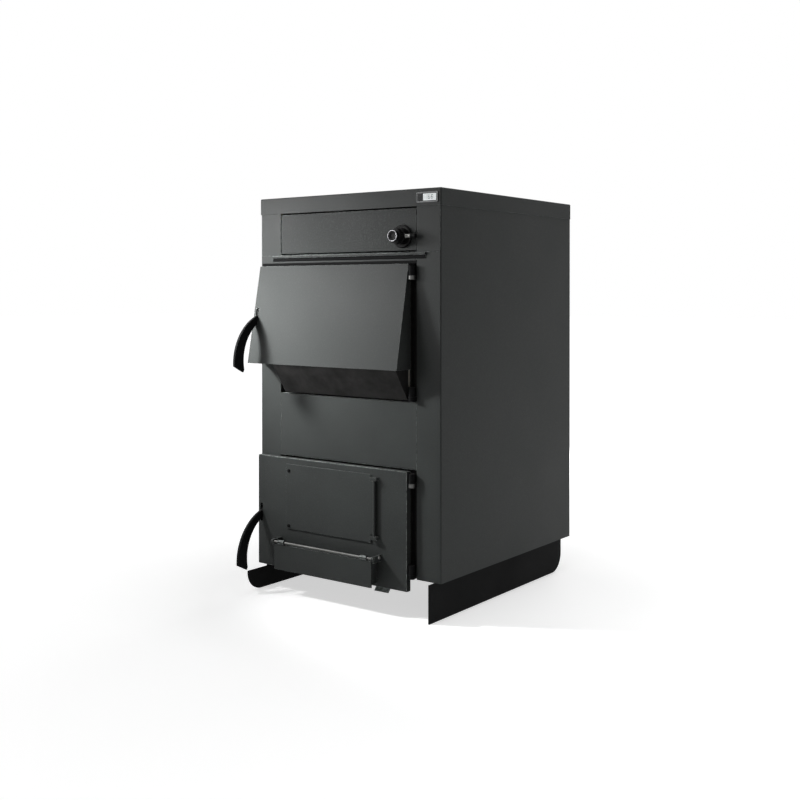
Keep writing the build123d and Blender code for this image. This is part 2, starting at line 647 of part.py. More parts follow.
def pocket_places():
    return [(FRONT_POCKET_Y, FLOOR_PLATE, FRONT_POCKET_TOP),
            (REAR_POCKET_Y, REAR_POCKET_BOTTOM, FIREBOX_ROOF)]


def pocket_water_space(y, bottom, top, half_width):
    return block(-half_width, half_width, y + POCKET_WALL, y + POCKET_DEPTH - POCKET_WALL,
                 bottom + POCKET_WALL, top - POCKET_WALL)


def heat_exchanger_pockets():
    """Flat water pockets that the flue gas passes over and under."""
    pockets = []
    for y, bottom, top in pocket_places():
        pocket = block(-FIREBOX_HALF_WIDTH, FIREBOX_HALF_WIDTH, y, y + POCKET_DEPTH, bottom, top)
        pockets.append(pocket - pocket_water_space(y, bottom, top, FIREBOX_HALF_WIDTH + CUT))
    return pockets


def firebox_shell():
    """Fire-side plates, open to the water pockets."""
    outer = FIREBOX_HALF_WIDTH + FIREBOX_PLATE
    right = block(FIREBOX_HALF_WIDTH, outer, BODY_INSIDE, FIREBOX_REAR, FLOOR_PLATE, FIREBOX_ROOF)
    for y, bottom, top in pocket_places():
        right -= pocket_water_space(y, bottom, top, outer + CUT)
    behind = FIREBOX_REAR + FIREBOX_PLATE
    rear = block(-outer, outer, FIREBOX_REAR, behind, FLOOR_PLATE, FIREBOX_ROOF)
    rear -= rod_along_y(0, FIREBOX_REAR - CUT, behind + CUT, FLUE_Z, FLUE_NECK_RADIUS + FLUE_HOLE_GAP)
    roof = block(-outer, outer, BODY_INSIDE, behind, FIREBOX_ROOF, FIREBOX_ROOF + FIREBOX_PLATE)
    return [right, mirrored(right), rear, roof]


def grate():
    """Cast bars lying across two rails."""
    bar_bottom = GRATE_TOP - GRATE_BAR_HEIGHT
    pieces = []
    for index in range(GRATE_BAR_COUNT):
        start = GRATE_FRONT + index * GRATE_BAR_PITCH
        pieces.append(block(-FIREBOX_HALF_WIDTH + SHEET_GAP, FIREBOX_HALF_WIDTH - SHEET_GAP, start,
                            start + GRATE_BAR_WIDTH, bar_bottom, GRATE_TOP))
    rail = block(FIREBOX_HALF_WIDTH - GRATE_RAIL_WIDTH, FIREBOX_HALF_WIDTH, BODY_INSIDE, FRONT_POCKET_Y,
                 bar_bottom - GRATE_RAIL_HEIGHT, bar_bottom)
    return pieces + [rail, mirrored(rail)]


def ash_pan():
    top = FLOOR_PLATE + ASH_PAN_HEIGHT
    inner = ASH_PAN_HALF_WIDTH - ASH_PAN_SHEET
    pan = block(-ASH_PAN_HALF_WIDTH, ASH_PAN_HALF_WIDTH, ASH_PAN_FRONT, ASH_PAN_REAR, FLOOR_PLATE, top)
    pan -= block(-inner, inner, ASH_PAN_FRONT + ASH_PAN_SHEET, ASH_PAN_REAR - ASH_PAN_SHEET,
                 FLOOR_PLATE + ASH_PAN_SHEET, top + CUT)
    half_grip = ASH_PAN_GRIP_WIDTH / 2
    grip_front = ASH_PAN_FRONT - ASH_PAN_GRIP_DEPTH
    return pan + block(-half_grip, half_grip, grip_front, ASH_PAN_FRONT, top - ASH_PAN_SHEET, top)


def flue_collar():
    """Tube from the firebox's rear, with a thicker end that the stove pipe is pushed over."""
    tube = rod_along_y(0, FIREBOX_REAR - SHEET_GAP, FLUE_END, FLUE_Z, FLUE_NECK_RADIUS)
    tube += rod_along_y(0, FLUE_END - SPIGOT_LENGTH, FLUE_END, FLUE_Z, FLUE_RADIUS)
    tube -= rod_along_y(0, FIREBOX_REAR - CUT, FLUE_END + CUT, FLUE_Z, FLUE_BORE_RADIUS)
    reach = FLUE_RADIUS + CUT
    return tube - rod_along_x(-reach, reach, DAMPER_Y, FLUE_Z, SPINDLE_RADIUS + RUNNING_GAP)


def flue_damper():
    """Disc on a spindle, drawn open, with its disc level."""
    radius = FLUE_BORE_RADIUS - DAMPER_GAP
    disc = rod_along_z(0, DAMPER_Y, FLUE_Z - DAMPER_PLATE / 2, FLUE_Z + DAMPER_PLATE / 2, radius)
    right = FLUE_RADIUS + SPINDLE_OVERHANG
    return disc + rod_along_x(-FLUE_RADIUS - CUT, right, DAMPER_Y, FLUE_Z, SPINDLE_RADIUS)


def flue_damper_lever():
    left = FLUE_RADIUS + DAMPER_LEVER_GAP
    right = left + DAMPER_LEVER_THICKNESS
    half = DAMPER_LEVER_WIDTH / 2
    arm = block(left, right, DAMPER_Y - half, DAMPER_Y + half, FLUE_Z - DAMPER_LEVER_LENGTH, FLUE_Z)
    arm += rod_along_x(left, right, DAMPER_Y, FLUE_Z, half)
    arm += rod_along_x(left, right, DAMPER_Y, FLUE_Z - DAMPER_LEVER_LENGTH, half)
    return arm - rod_along_x(left - CUT, right + CUT, DAMPER_Y, FLUE_Z, SPINDLE_RADIUS + TIGHT_GAP)


def socket(x, z, radius, bore):
    tube = rod_along_y(x, JACKET_REAR, SOCKET_END, z, radius)
    return tube - rod_along_y(x, JACKET_REAR - CUT, SOCKET_END + CUT, z, bore)


def flow_return_sockets():
    return [socket(FLOW_X, z, FLOW_SOCKET_RADIUS, FLOW_BORE_RADIUS) for z in (FLOW_Z, RETURN_Z)]


def drain_socket():
    return socket(DRAIN_X, DRAIN_Z, DRAIN_SOCKET_RADIUS, DRAIN_BORE_RADIUS)


def leg_bolt_places():
    return [(side * LEG_BOLT_X, y) for side in (-1, 1) for y in (LEG_BOLT_FRONT_Y, LEG_BOLT_REAR_Y)]


def leg(start, rounded_at_front):
    """Right-hand skid: an upright plate with one round lower corner and a flange under the body."""
    end = start + LEG_LENGTH
    plate = block(LEG_X - LEG_SHEET, LEG_X, start, end, -LEG_HEIGHT, 0)
    corner_y = start if rounded_at_front else end
    corner = plate.edges().filter_by(Axis.X).sort_by_distance((LEG_X, corner_y, -LEG_HEIGHT))[0]
    plate = fillet(corner, LEG_CORNER_RADIUS)
    plate += block(JACKET_HALF_WIDTH - LEG_FLANGE_LAP, LEG_X, BODY_FRONT, end, -LEG_SHEET, 0)
    for y in (LEG_BOLT_FRONT_Y, LEG_BOLT_REAR_Y):
        plate -= rod_along_z(LEG_BOLT_X, y, -LEG_SHEET - CUT, CUT, LEG_BOLT_RADIUS + LEG_BOLT_GAP)
    return plate


def leg_bolts():
    bolts = []
    for x, y in leg_bolt_places():
        shank = rod_along_z(x, y, -LEG_SHEET, FLOOR_PLATE - LEG_BOLT_END_GAP, LEG_BOLT_RADIUS)
        hexagon = Plane(origin=(x, y, -LEG_SHEET - LEG_BOLT_HEAD)) * RegularPolygon(LEG_BOLT_HEAD_RADIUS, 6)
        bolts.append(shank + extrude(hexagon, LEG_BOLT_HEAD))
    return bolts


def eye_places():
    """Lower faces of the hinge eyes, by door."""
    return {"loading": (LOADING_LOWER_EYE_Z, LOADING_UPPER_EYE_Z), "ash": (ASH_LOWER_EYE_Z, ASH_UPPER_EYE_Z)}


def body_hinges():
    """Lugs on the body, each with the pin that a door eye drops over."""
    pieces = []
    half = HINGE_LUG_WIDTH / 2
    for heights in eye_places().values():
        for eye_z in heights:
            top = eye_z - HINGE_FACE_GAP
            bottom = top - HINGE_LUG_HEIGHT
            lug = rod_along_z(HINGE_X, HINGE_Y, bottom, top, HINGE_EYE_RADIUS)
            lug += block(HINGE_X - half, HINGE_X + half, HINGE_Y, BODY_FRONT, bottom, top)
            pin_top = eye_z + HINGE_EYE_HEIGHT
            pieces.append(lug + rod_along_z(HINGE_X, HINGE_Y, bottom, pin_top, HINGE_PIN_RADIUS))
    return pieces


def hinge_eyes(heights):
    """Eyes on the edge of a door's inner plate."""
    eyes = []
    for bottom in heights:
        top = bottom + HINGE_EYE_HEIGHT
        reach = HINGE_X - HINGE_PIN_RADIUS
        eye = rod_along_z(HINGE_X, HINGE_Y, bottom, top, HINGE_EYE_RADIUS)
        eye += block(SEAT_HALF_WIDTH, reach, DOOR_PLATE_FRONT, DOOR_PLATE_REAR, bottom, top)
        bore = rod_along_z(HINGE_X, HINGE_Y, bottom - CUT, top + CUT, HINGE_PIN_RADIUS + RUNNING_GAP)
        eyes.append(eye - bore)
    return eyes


def eye_notches(heights):
    """Room in a door's right flange for its hinge eyes."""
    cutters = []
    for bottom in heights:
        cutters.append(block(DOOR_RIGHT - DOOR_SHEET - CUT, DOOR_RIGHT + CUT, DOOR_PLATE_FRONT - CUT, CUT,
                             bottom - CUT, bottom + HINGE_EYE_HEIGHT + CUT))
    return cutters


def latch_keepers():
    """Pins on the left side of the door frames, each just above a latch tongue."""
    keepers = []
    for pivot_z in (LOADING_PIVOT_Z, ASH_PIVOT_Z):
        pin_z = pivot_z + TONGUE_HALF_HEIGHT + KEEPER_GAP + KEEPER_PIN_RADIUS
        pin = rod_along_x(TONGUE_LEFT, -SEAT_HALF_WIDTH, KEEPER_PIN_Y, pin_z, KEEPER_PIN_RADIUS)
        free_end = pin.faces().sort_by(Axis.X)[0]
        keepers.append(chamfer(free_end.edges(), KEEPER_PIN_BEVEL))
    return keepers


def lever_slot(pivot_z, front, rear):
    gap = LEVER_SIDE_GAP / 2
    low = pivot_z - LEVER_SLOT_DROP
    high = pivot_z + LEVER_SLOT_RISE
    return block(LEVER_LEFT - gap, LEVER_RIGHT + gap, front, rear, low, high)


def pivot_ears(front_at, pivot_y, pivot_z):
    """Ears behind a door's sheet, on both sides of the lever and beside the tongue, bored for the bolt."""
    rear = pivot_y + EAR_REAR_MARGIN
    low = pivot_z - EAR_HALF_HEIGHT
    high = pivot_z + EAR_HALF_HEIGHT
    outline = [(front_at(low), low), (rear, low), (rear, high), (front_at(high), high)]
    beside_lever = LEVER_RIGHT + LEVER_SIDE_GAP
    beside_tongue = TONGUE_LEFT - SHEET_GAP
    ears = slab_along_x(outline, DOOR_LEFT + DOOR_SHEET, LEVER_LEFT - LEVER_SIDE_GAP)
    ears += slab_along_x(outline, beside_lever, beside_lever + EAR_THICKNESS)
    ears += slab_along_x(outline, beside_tongue - EAR_THICKNESS, beside_tongue)
    return ears - rod_along_x(DOOR_LEFT, TONGUE_LEFT + CUT, pivot_y, pivot_z, LEVER_BOLT_RADIUS + RUNNING_GAP)


def lever(pivot_y, pivot_z):
    """Curved hand lever: two arcs from the pivot boss down to an angled tip."""
    outer_y = LEVER_OUTER_RADIUS - LEVER_REACH
    inner_y = LEVER_INNER_RADIUS - LEVER_INNER_REACH

    def outer(drop):
        return (outer_y - math.sqrt(LEVER_OUTER_RADIUS ** 2 - (drop - LEVER_OUTER_DROP) ** 2), -drop)

    def inner(drop):
        return (inner_y - math.sqrt(LEVER_INNER_RADIUS ** 2 - (drop - LEVER_INNER_DROP) ** 2), -drop)

    root = outer(0.0)
    middle = outer(LEVER_OUTER_DROP / 2)
    corner = outer(LEVER_FRONT_CORNER)
    tip = (-LEVER_REACH + LEVER_TIP_SETBACK, -LEVER_TIP_DROP)
    heel = inner(LEVER_REAR_CORNER)
    waist = inner(LEVER_INNER_DROP / 2)
    throat = inner(LEVER_ROOT_DROP)
    under_boss = (LEVER_NECK_REACH, -LEVER_NECK_DROP)
    edges = ThreePointArc(root, middle, corner) + Line(corner, tip) + Line(tip, heel)
    edges += ThreePointArc(heel, waist, throat) + Line(throat, under_boss)
    edges += Line(under_boss, (0, 0)) + Line((0, 0), root)
    face = make_face(edges) + Circle(LEVER_BOSS_RADIUS)
    bar = extrude(Plane.YZ.offset(LEVER_LEFT) * face, LEVER_THICKNESS)
    rims = bar.faces().sort_by(Axis.X)[0].edges() + bar.faces().sort_by(Axis.X)[-1].edges()
    bar = fillet(rims, LEVER_EDGE_RADIUS)
    bar = Pos(0, pivot_y, pivot_z) * bar
    bore = rod_along_x(LEVER_LEFT - CUT, LEVER_RIGHT + CUT, pivot_y, pivot_z, LEVER_BOLT_RADIUS + TIGHT_GAP)
    return bar - bore


def latch(pivot_y, pivot_z):
    """Pivot bolt with the tongue that reaches under the keeper pin."""
    bolt = rod_along_x(DOOR_LEFT + DOOR_SHEET + SHEET_GAP, TONGUE_RIGHT, pivot_y, pivot_z, LEVER_BOLT_RADIUS)
    boss = rod_along_x(TONGUE_LEFT, TONGUE_RIGHT, pivot_y, pivot_z, LEVER_BOSS_RADIUS)
    tongue = block(TONGUE_LEFT, TONGUE_RIGHT, pivot_y, TONGUE_END_Y, pivot_z - TONGUE_HALF_HEIGHT,
                   pivot_z + TONGUE_HALF_HEIGHT)
    return bolt + boss + tongue


def loading_door_cover():
    """Sloping sheet with side flanges, a top flange and a folded lip."""
    rear = -DOOR_FLANGE_REAR
    top = LOADING_DOOR_TOP
    lip = LOADING_LIP_Z
    outline = [(cover_y(top), top), (rear, top), (rear, lip), (cover_y(lip), lip)]
    outside = slab_along_x(outline, DOOR_LEFT, DOOR_RIGHT)
    inside_top = top - DOOR_SHEET
    inside = slab_along_x([(cover_y(inside_top, DOOR_SHEET), inside_top), (rear + CUT, inside_top),
                           (rear + CUT, lip - CUT), (cover_y(lip - CUT, DOOR_SHEET), lip - CUT)],
                          DOOR_LEFT + DOOR_SHEET, DOOR_RIGHT - DOOR_SHEET)
    cover = outside - inside
    fold = cover_y(lip, DOOR_SHEET)
    for x0, x1 in ((DOOR_LEFT, -SEAT_HALF_WIDTH - SHEET_GAP), (SEAT_HALF_WIDTH + SHEET_GAP, DOOR_RIGHT)):
        cover += block(x0, x1, fold - DOOR_SHEET / 2, fold + COVER_LIP_FOLD, lip, lip + DOOR_SHEET)
    cover -= eye_notches([LOADING_UPPER_EYE_Z])[0]
    cover += pivot_ears(lambda z: cover_y(z, DOOR_SHEET / 2), LOADING_PIVOT_Y, LOADING_PIVOT_Z)
    return cover - lever_slot(LOADING_PIVOT_Z, -COVER_LIP_REACH, LOADING_PIVOT_Y - LEVER_BOLT_RADIUS)


def loading_box_space(inset, half_width, rear):
    """The tapered room under the cover, inset within the box's sheets."""
    top = LOADING_SEAT_TOP
    bottom = LOADING_SEAT_BOTTOM
    lip = LOADING_LIP_Z
    behind = rear + inset
    outline = [(cover_y(lip, DOOR_SHEET), lip), (cover_y(top, DOOR_SHEET), top), (behind, top),
               (behind, bottom), (DOOR_PLATE_FRONT, bottom)]
    face = make_face(Polyline(*outline, close=True))
    if inset > 0:
        face = offset(face, -inset)
    return extrude(Plane.YZ.offset(-half_width) * face, 2 * half_width)


def loading_door_box():
    """Welded box under the cover, with a sloping underside, open towards the inner plate."""
    box = loading_box_space(0, SEAT_HALF_WIDTH, DOOR_PLATE_REAR)
    box -= loading_box_space(LOADING_BOX_SHEET, SEAT_HALF_WIDTH - LOADING_BOX_SHEET, DOOR_PLATE_REAR + CUT)
    return box - block(-CASING_WIDTH, CASING_WIDTH, DOOR_PLATE_FRONT, CASING_DEPTH, 0, CASING_HEIGHT)


def loading_door_wool():
    inset = LOADING_BOX_SHEET + LOADING_WOOL_GAP
    wool = loading_box_space(inset, SEAT_HALF_WIDTH - inset, DOOR_PLATE_REAR)
    return wool - block(-CASING_WIDTH, CASING_WIDTH, DOOR_PLATE_FRONT - LOADING_WOOL_GAP, CASING_DEPTH, 0,
                        CASING_HEIGHT)


def inner_plate(bottom, top):
    return block(-SEAT_HALF_WIDTH, SEAT_HALF_WIDTH, DOOR_PLATE_FRONT, DOOR_PLATE_REAR, bottom, top)


def rope_gasket(bottom, top):
    """Rope seal round the edge of an inner plate."""
    rear = FRAME_FRONT - GASKET_GAP
    inner = SEAT_HALF_WIDTH - GASKET_WIDTH
    ring = block(-SEAT_HALF_WIDTH, SEAT_HALF_WIDTH, DOOR_PLATE_REAR, rear, bottom, top)
    low = bottom + GASKET_WIDTH
    high = top - GASKET_WIDTH
    return ring - block(-inner, inner, DOOR_PLATE_REAR - CUT, rear + CUT, low, high)


def fire_side_block(bottom, top):
    """Insulating block that faces the fire."""
    half = DOORWAY_HALF_WIDTH - BLOCK_SETBACK
    return block(-half, half, DOOR_PLATE_REAR, BLOCK_REAR, bottom + BLOCK_SETBACK, top - BLOCK_SETBACK)


def hatch_way(front, rear):
    """Passage for a rake through the ash door."""
    return block(HATCH_HOLE_LEFT, HATCH_HOLE_RIGHT, front, rear, HATCH_HOLE_BOTTOM, HATCH_HOLE_TOP)


def duct_way(front, rear):
    """The inside of the air box."""
    return block(DUCT_LEFT + DUCT_WALL, DUCT_RIGHT - DUCT_WALL, front, rear, DUCT_BOTTOM + DUCT_WALL,
                 DUCT_TOP - DUCT_WALL)


def air_slot(front, rear):
    return block(AIR_SLOT_LEFT, DUCT_RIGHT - DUCT_WALL, front, rear, AIR_SLOT_BOTTOM, AIR_SLOT_TOP)


def hatch_lug_bottoms():
    return (HATCH_BOTTOM + HATCH_LUG_RISE, HATCH_TOP - HATCH_LUG_INSET - HATCH_LUG_HEIGHT)


def hatch_screw_places():
    x = HATCH_LEFT + HATCH_SCREW_INSET
    return [(x, HATCH_BOTTOM + HATCH_SCREW_RISE), (x, HATCH_TOP - HATCH_SCREW_DROP)]


def ash_door_pan():
    """Folded pan with lugs for the raking hatch, a foot tab and ears for the lever."""
    rear = -DOOR_FLANGE_REAR
    cut_front = ASH_FACE - CUT
    cut_rear = ASH_FACE + DOOR_SHEET + CUT
    outside = block(DOOR_LEFT, DOOR_RIGHT, ASH_FACE, rear, ASH_DOOR_BOTTOM, ASH_DOOR_TOP)
    outside = fillet(outside.faces().sort_by(Axis.Y)[0].edges(), DOOR_FOLD_RADIUS)
    pan = outside - block(DOOR_LEFT + DOOR_SHEET, DOOR_RIGHT - DOOR_SHEET, ASH_FACE + DOOR_SHEET, rear + CUT,
                          ASH_DOOR_BOTTOM + DOOR_SHEET, ASH_DOOR_TOP - DOOR_SHEET)
    pan -= hatch_way(cut_front, cut_rear)
    pan -= duct_way(cut_front, cut_rear)
    for cutter in eye_notches([ASH_LOWER_EYE_Z, ASH_UPPER_EYE_Z]):
        pan -= cutter
    for x, z in hatch_screw_places():
        pan -= rod_along_y(x, cut_front, cut_rear, z, HATCH_SCREW_RADIUS + HATCH_SCREW_GAP)
    half = HATCH_LUG_WIDTH / 2
    for bottom in hatch_lug_bottoms():
        top = bottom + HATCH_LUG_HEIGHT
        lug = block(HATCH_ROD_X - half, HATCH_ROD_X + half, ASH_FACE - HATCH_LUG_REACH,
                    ASH_FACE + DOOR_SHEET / 2, bottom, top)
        bore = rod_along_z(HATCH_ROD_X, HATCH_ROD_Y, bottom - CUT, top + CUT, HATCH_ROD_RADIUS + RUNNING_GAP)
        pan += lug - bore
    pan += foot_tab()
    pan += pivot_ears(lambda z: ASH_FACE + DOOR_SHEET / 2, ASH_PIVOT_Y, ASH_PIVOT_Z)
    return pan - lever_slot(ASH_PIVOT_Z, ASH_FACE - CUT, ASH_PIVOT_Y - LEVER_BOLT_RADIUS)


def foot_tab():
    """Tab bent forward from the lower edge of the ash door."""
    low = ASH_DOOR_BOTTOM - FOOT_TAB_DROP
    front = ASH_FACE + DOOR_FOLD_RADIUS - FOOT_TAB_REACH
    root = ASH_FACE + DOOR_FOLD_RADIUS
    top = ASH_DOOR_BOTTOM + DOOR_SHEET / 2
    outline = [(root, top), (front, low), (front + DOOR_SHEET, low), (root + DOOR_SHEET, top)]
    return slab_along_x(outline, FOOT_TAB_X - FOOT_TAB_WIDTH / 2, FOOT_TAB_X + FOOT_TAB_WIDTH / 2)


def ash_door_liner():
    """Fibre board between the pan and the inner plate."""
    front = ASH_FACE + DOOR_SHEET
    board = block(-SEAT_HALF_WIDTH, SEAT_HALF_WIDTH, front, DOOR_PLATE_FRONT, ASH_SEAT_BOTTOM, ASH_SEAT_TOP)
    board -= hatch_way(front - CUT, DOOR_PLATE_FRONT + CUT)
    return board - air_slot(front - CUT, DOOR_PLATE_FRONT + CUT)


def ash_door_inner_plate():
    plate = inner_plate(ASH_SEAT_BOTTOM, ASH_SEAT_TOP)
    return plate - hatch_way(DOOR_PLATE_FRONT - CUT, 0) - air_slot(DOOR_PLATE_FRONT - CUT, 0)


def ash_door_block():
    """Fire-side block, kept above the air slot, with the hatch's passage through it."""
    body = fire_side_block(AIR_SLOT_TOP, ASH_DOORWAY_TOP)
    return body - hatch_way(DOOR_PLATE_REAR - CUT, BLOCK_REAR + CUT)


def raking_hatch():
    """Plate hung on an upright rod at its right edge."""
    plate = block(HATCH_LEFT, HATCH_ROD_X, HATCH_FRONT, HATCH_FRONT + HATCH_SHEET, HATCH_BOTTOM, HATCH_TOP)
    cut_front = HATCH_FRONT - CUT
    cut_rear = HATCH_FRONT + HATCH_SHEET + CUT
    lug_left = HATCH_ROD_X - HATCH_LUG_WIDTH / 2 - HATCH_CORNER_GAP
    low, high = hatch_lug_bottoms()
    for bottom, top in ((HATCH_BOTTOM - CUT, low + HATCH_LUG_HEIGHT + HATCH_CORNER_GAP),
                        (high - HATCH_CORNER_GAP, HATCH_TOP + CUT)):
        plate -= block(lug_left, HATCH_ROD_X + CUT, cut_front, cut_rear, bottom, top)
    for x, z in hatch_screw_places():
        plate -= rod_along_y(x, cut_front, cut_rear, z, HATCH_SCREW_RADIUS + TIGHT_GAP)
    rod_top = high + HATCH_LUG_HEIGHT
    return plate + rod_along_z(HATCH_ROD_X, HATCH_ROD_Y, low, rod_top, HATCH_ROD_RADIUS)


def hatch_screws():
    screws = []
    for x, z in hatch_screw_places():
        head = rod_along_y(x, HATCH_FRONT - HATCH_SCREW_HEAD, HATCH_FRONT, z, HATCH_SCREW_HEAD_RADIUS)
        shank = rod_along_y(x, HATCH_FRONT, HATCH_FRONT + HATCH_SCREW_LENGTH, z, HATCH_SCREW_RADIUS)
        screws.append(head + shank)
    return screws


def air_duct():
    """Shallow air box on the ash door, with an ear at each end of its widened top for the flap's rod."""
    duct = block(DUCT_LEFT, DUCT_RIGHT, DUCT_FRONT, ASH_FACE, DUCT_BOTTOM, DUCT_TOP)
    duct -= duct_way(DUCT_FRONT - CUT, ASH_FACE + CUT)
    ear_left = DUCT_LEFT - FLAP_OVERHANG - FLAP_EAR_GAP - FLAP_EAR_WIDTH
    ear_right = DUCT_RIGHT + FLAP_OVERHANG + FLAP_EAR_GAP + FLAP_EAR_WIDTH
    low = DUCT_TOP - DUCT_WALL
    duct += block(ear_left, ear_right, DUCT_FRONT, ASH_FACE, low, DUCT_TOP)
    for x0, x1 in ((ear_left, ear_left + FLAP_EAR_WIDTH), (ear_right - FLAP_EAR_WIDTH, ear_right)):
        duct += block(x0, x1, FLAP_ROD_Y, ASH_FACE, low, FLAP_ROD_Z + FLAP_EAR_RADIUS)
        duct += rod_along_x(x0, x1, FLAP_ROD_Y, FLAP_ROD_Z, FLAP_EAR_RADIUS)
    bore = rod_along_x(ear_left - CUT, ear_right + CUT, FLAP_ROD_Y, FLAP_ROD_Z, FLAP_ROD_RADIUS + RUNNING_GAP)
    return duct - bore


def air_flap():
    """Flap over the mouth of the air box, hung from its rod by two tabs."""
    left = DUCT_LEFT - FLAP_OVERHANG
    right = DUCT_RIGHT + FLAP_OVERHANG
    flap = block(left, right, FLAP_FRONT, FLAP_BACK, DUCT_BOTTOM - FLAP_DROP, FLAP_TOP)
    for x0 in (left + FLAP_TAB_INSET, right - FLAP_TAB_INSET - FLAP_TAB_WIDTH):
        flap += block(x0, x0 + FLAP_TAB_WIDTH, FLAP_FRONT, FLAP_BACK, FLAP_TOP - CUT, FLAP_ROD_Z)
        flap += rod_along_x(x0, x0 + FLAP_TAB_WIDTH, FLAP_ROD_Y, FLAP_ROD_Z, FLAP_TAB_RADIUS)
    return flap - rod_along_x(left - CUT, right + CUT, FLAP_ROD_Y, FLAP_ROD_Z, FLAP_ROD_RADIUS + TIGHT_GAP)


def air_flap_rod():
    reach = FLAP_OVERHANG + FLAP_EAR_GAP + FLAP_EAR_WIDTH + CUT
    return rod_along_x(DUCT_LEFT - reach, DUCT_RIGHT + reach, FLAP_ROD_Y, FLAP_ROD_Z, FLAP_ROD_RADIUS)


def regulator_stem():
    """Stem screwed into the body, with its escutcheon and the neck that the grip turns on."""
    stem = rod_along_y(REGULATOR_X, ARM_RING_FRONT, BODY_FRONT, REGULATOR_Z, STEM_RADIUS)
    stem += rod_along_y(REGULATOR_X, ESCUTCHEON_FRONT, REGULATOR_FACE, REGULATOR_Z, ESCUTCHEON_RADIUS)
    return stem + rod_along_y(REGULATOR_X, GRIP_FRONT - REGULATOR_FACE_GAP, ARM_RING_FRONT, REGULATOR_Z,
                              STEM_NECK_RADIUS)


def regulator_arm():
    """Ring that turns on the stem, with a stub for an arm."""
    rear = ARM_RING_FRONT + ARM_RING_LENGTH
    middle = (ARM_RING_FRONT + rear) / 2
    ring = rod_along_y(REGULATOR_X, ARM_RING_FRONT, rear, REGULATOR_Z, ARM_RING_RADIUS)
    ring += rod_along_x(REGULATOR_X, REGULATOR_X + ARM_STUB_REACH, middle, REGULATOR_Z, ARM_STUB_RADIUS)
    bore_radius = STEM_RADIUS + RUNNING_GAP
    return ring - rod_along_y(REGULATOR_X, ARM_RING_FRONT - CUT, rear + CUT, REGULATOR_Z, bore_radius)


def regulator_grip():
    """Fluted grip that turns on the neck."""
    rear = GRIP_FRONT + GRIP_LENGTH
    cut_front = GRIP_FRONT - CUT
    cut_rear = rear + CUT
    grip = rod_along_y(REGULATOR_X, GRIP_FRONT, rear, REGULATOR_Z, GRIP_RADIUS)
    for index in range(GRIP_FLUTE_COUNT):
        angle = 2 * math.pi * index / GRIP_FLUTE_COUNT
        x = REGULATOR_X + GRIP_RADIUS * math.cos(angle)
        z = REGULATOR_Z + GRIP_RADIUS * math.sin(angle)
        grip -= rod_along_y(x, cut_front, cut_rear, z, GRIP_FLUTE_RADIUS)
    return grip - rod_along_y(REGULATOR_X, cut_front, cut_rear, REGULATOR_Z, STEM_NECK_RADIUS + RUNNING_GAP)


def regulator_nose():
    ring = rod_along_y(REGULATOR_X, NOSE_FRONT, GRIP_FRONT, REGULATOR_Z, NOSE_RADIUS)
    return ring - rod_along_y(REGULATOR_X, NOSE_FRONT - CUT, GRIP_FRONT + CUT, REGULATOR_Z, NOSE_BORE_RADIUS)


def left_leg():
    """The same skid the other way round, with a low toe that passes under the ash door."""
    skid = mirrored(leg(LEFT_LEG_START, True))
    return skid - block(-LEG_X - CUT, -LEG_X + LEG_SHEET + CUT, LEFT_LEG_START - CUT, LEG_TOE_END,
                        -LEG_HEIGHT + LEG_TOE_HEIGHT, CUT)


def loading_pieces():
    """Pieces that swing with the loading door."""
    eyes = eye_places()["loading"]
    return {
        "loading_door_cover": loading_door_cover(),
        "loading_door_box": loading_door_box(),
        "loading_door_wool": loading_door_wool(),
        "loading_door_inner_plate": inner_plate(LOADING_SEAT_BOTTOM, LOADING_SEAT_TOP),
        "loading_door_block": fire_side_block(LOADING_DOORWAY_BOTTOM, LOADING_DOORWAY_TOP),
        "loading_door_gasket": rope_gasket(LOADING_SEAT_BOTTOM, LOADING_SEAT_TOP),
        "loading_door_hinge_eyes": hinge_eyes(eyes),
        "loading_handle_lever": lever(LOADING_PIVOT_Y, LOADING_PIVOT_Z),
        "loading_latch": latch(LOADING_PIVOT_Y, LOADING_PIVOT_Z),
    }


def ash_pieces():
    """Pieces that swing with the ash door."""
    eyes = eye_places()["ash"]
    return {
        "ash_door_pan": ash_door_pan(),
        "ash_door_liner": ash_door_liner(),
        "ash_door_inner_plate": ash_door_inner_plate(),
        "ash_door_block": ash_door_block(),
        "ash_door_gasket": rope_gasket(ASH_SEAT_BOTTOM, ASH_SEAT_TOP),
        "ash_door_hinge_eyes": hinge_eyes(eyes),
        "ash_handle_lever": lever(ASH_PIVOT_Y, ASH_PIVOT_Z),
        "ash_latch": latch(ASH_PIVOT_Y, ASH_PIVOT_Z),
        "raking_hatch": raking_hatch(),
        "raking_hatch_screws": hatch_screws(),
        "air_duct": air_duct(),
        "air_flap": air_flap(),
        "air_flap_rod": air_flap_rod(),
    }


def casing_pieces():
    return {
        "top_cover": top_cover(),
        "side_panel_left": mirrored(side_panel()),
        "side_panel_right": side_panel(),
        "front_fascia": front_fascia(),
        "control_panel": control_panel(),
        "ledge_strip": ledge_strip(),
        "front_header_panel": header_panel(),
        "front_middle_panel": middle_panel(),
        "rear_panel": rear_panel(),
        "rear_panel_screws": rear_panel_screws(),
        "casing_insulation": insulation(),
        "casing_support_rails": support_rails(),
        "display_housing": display_housing(),
        "display_screen": display_screen(),
        "regulator_stem": regulator_stem(),
        "regulator_arm": regulator_arm(),
        "regulator_grip": regulator_grip(),
        "regulator_nose": regulator_nose(),
    }


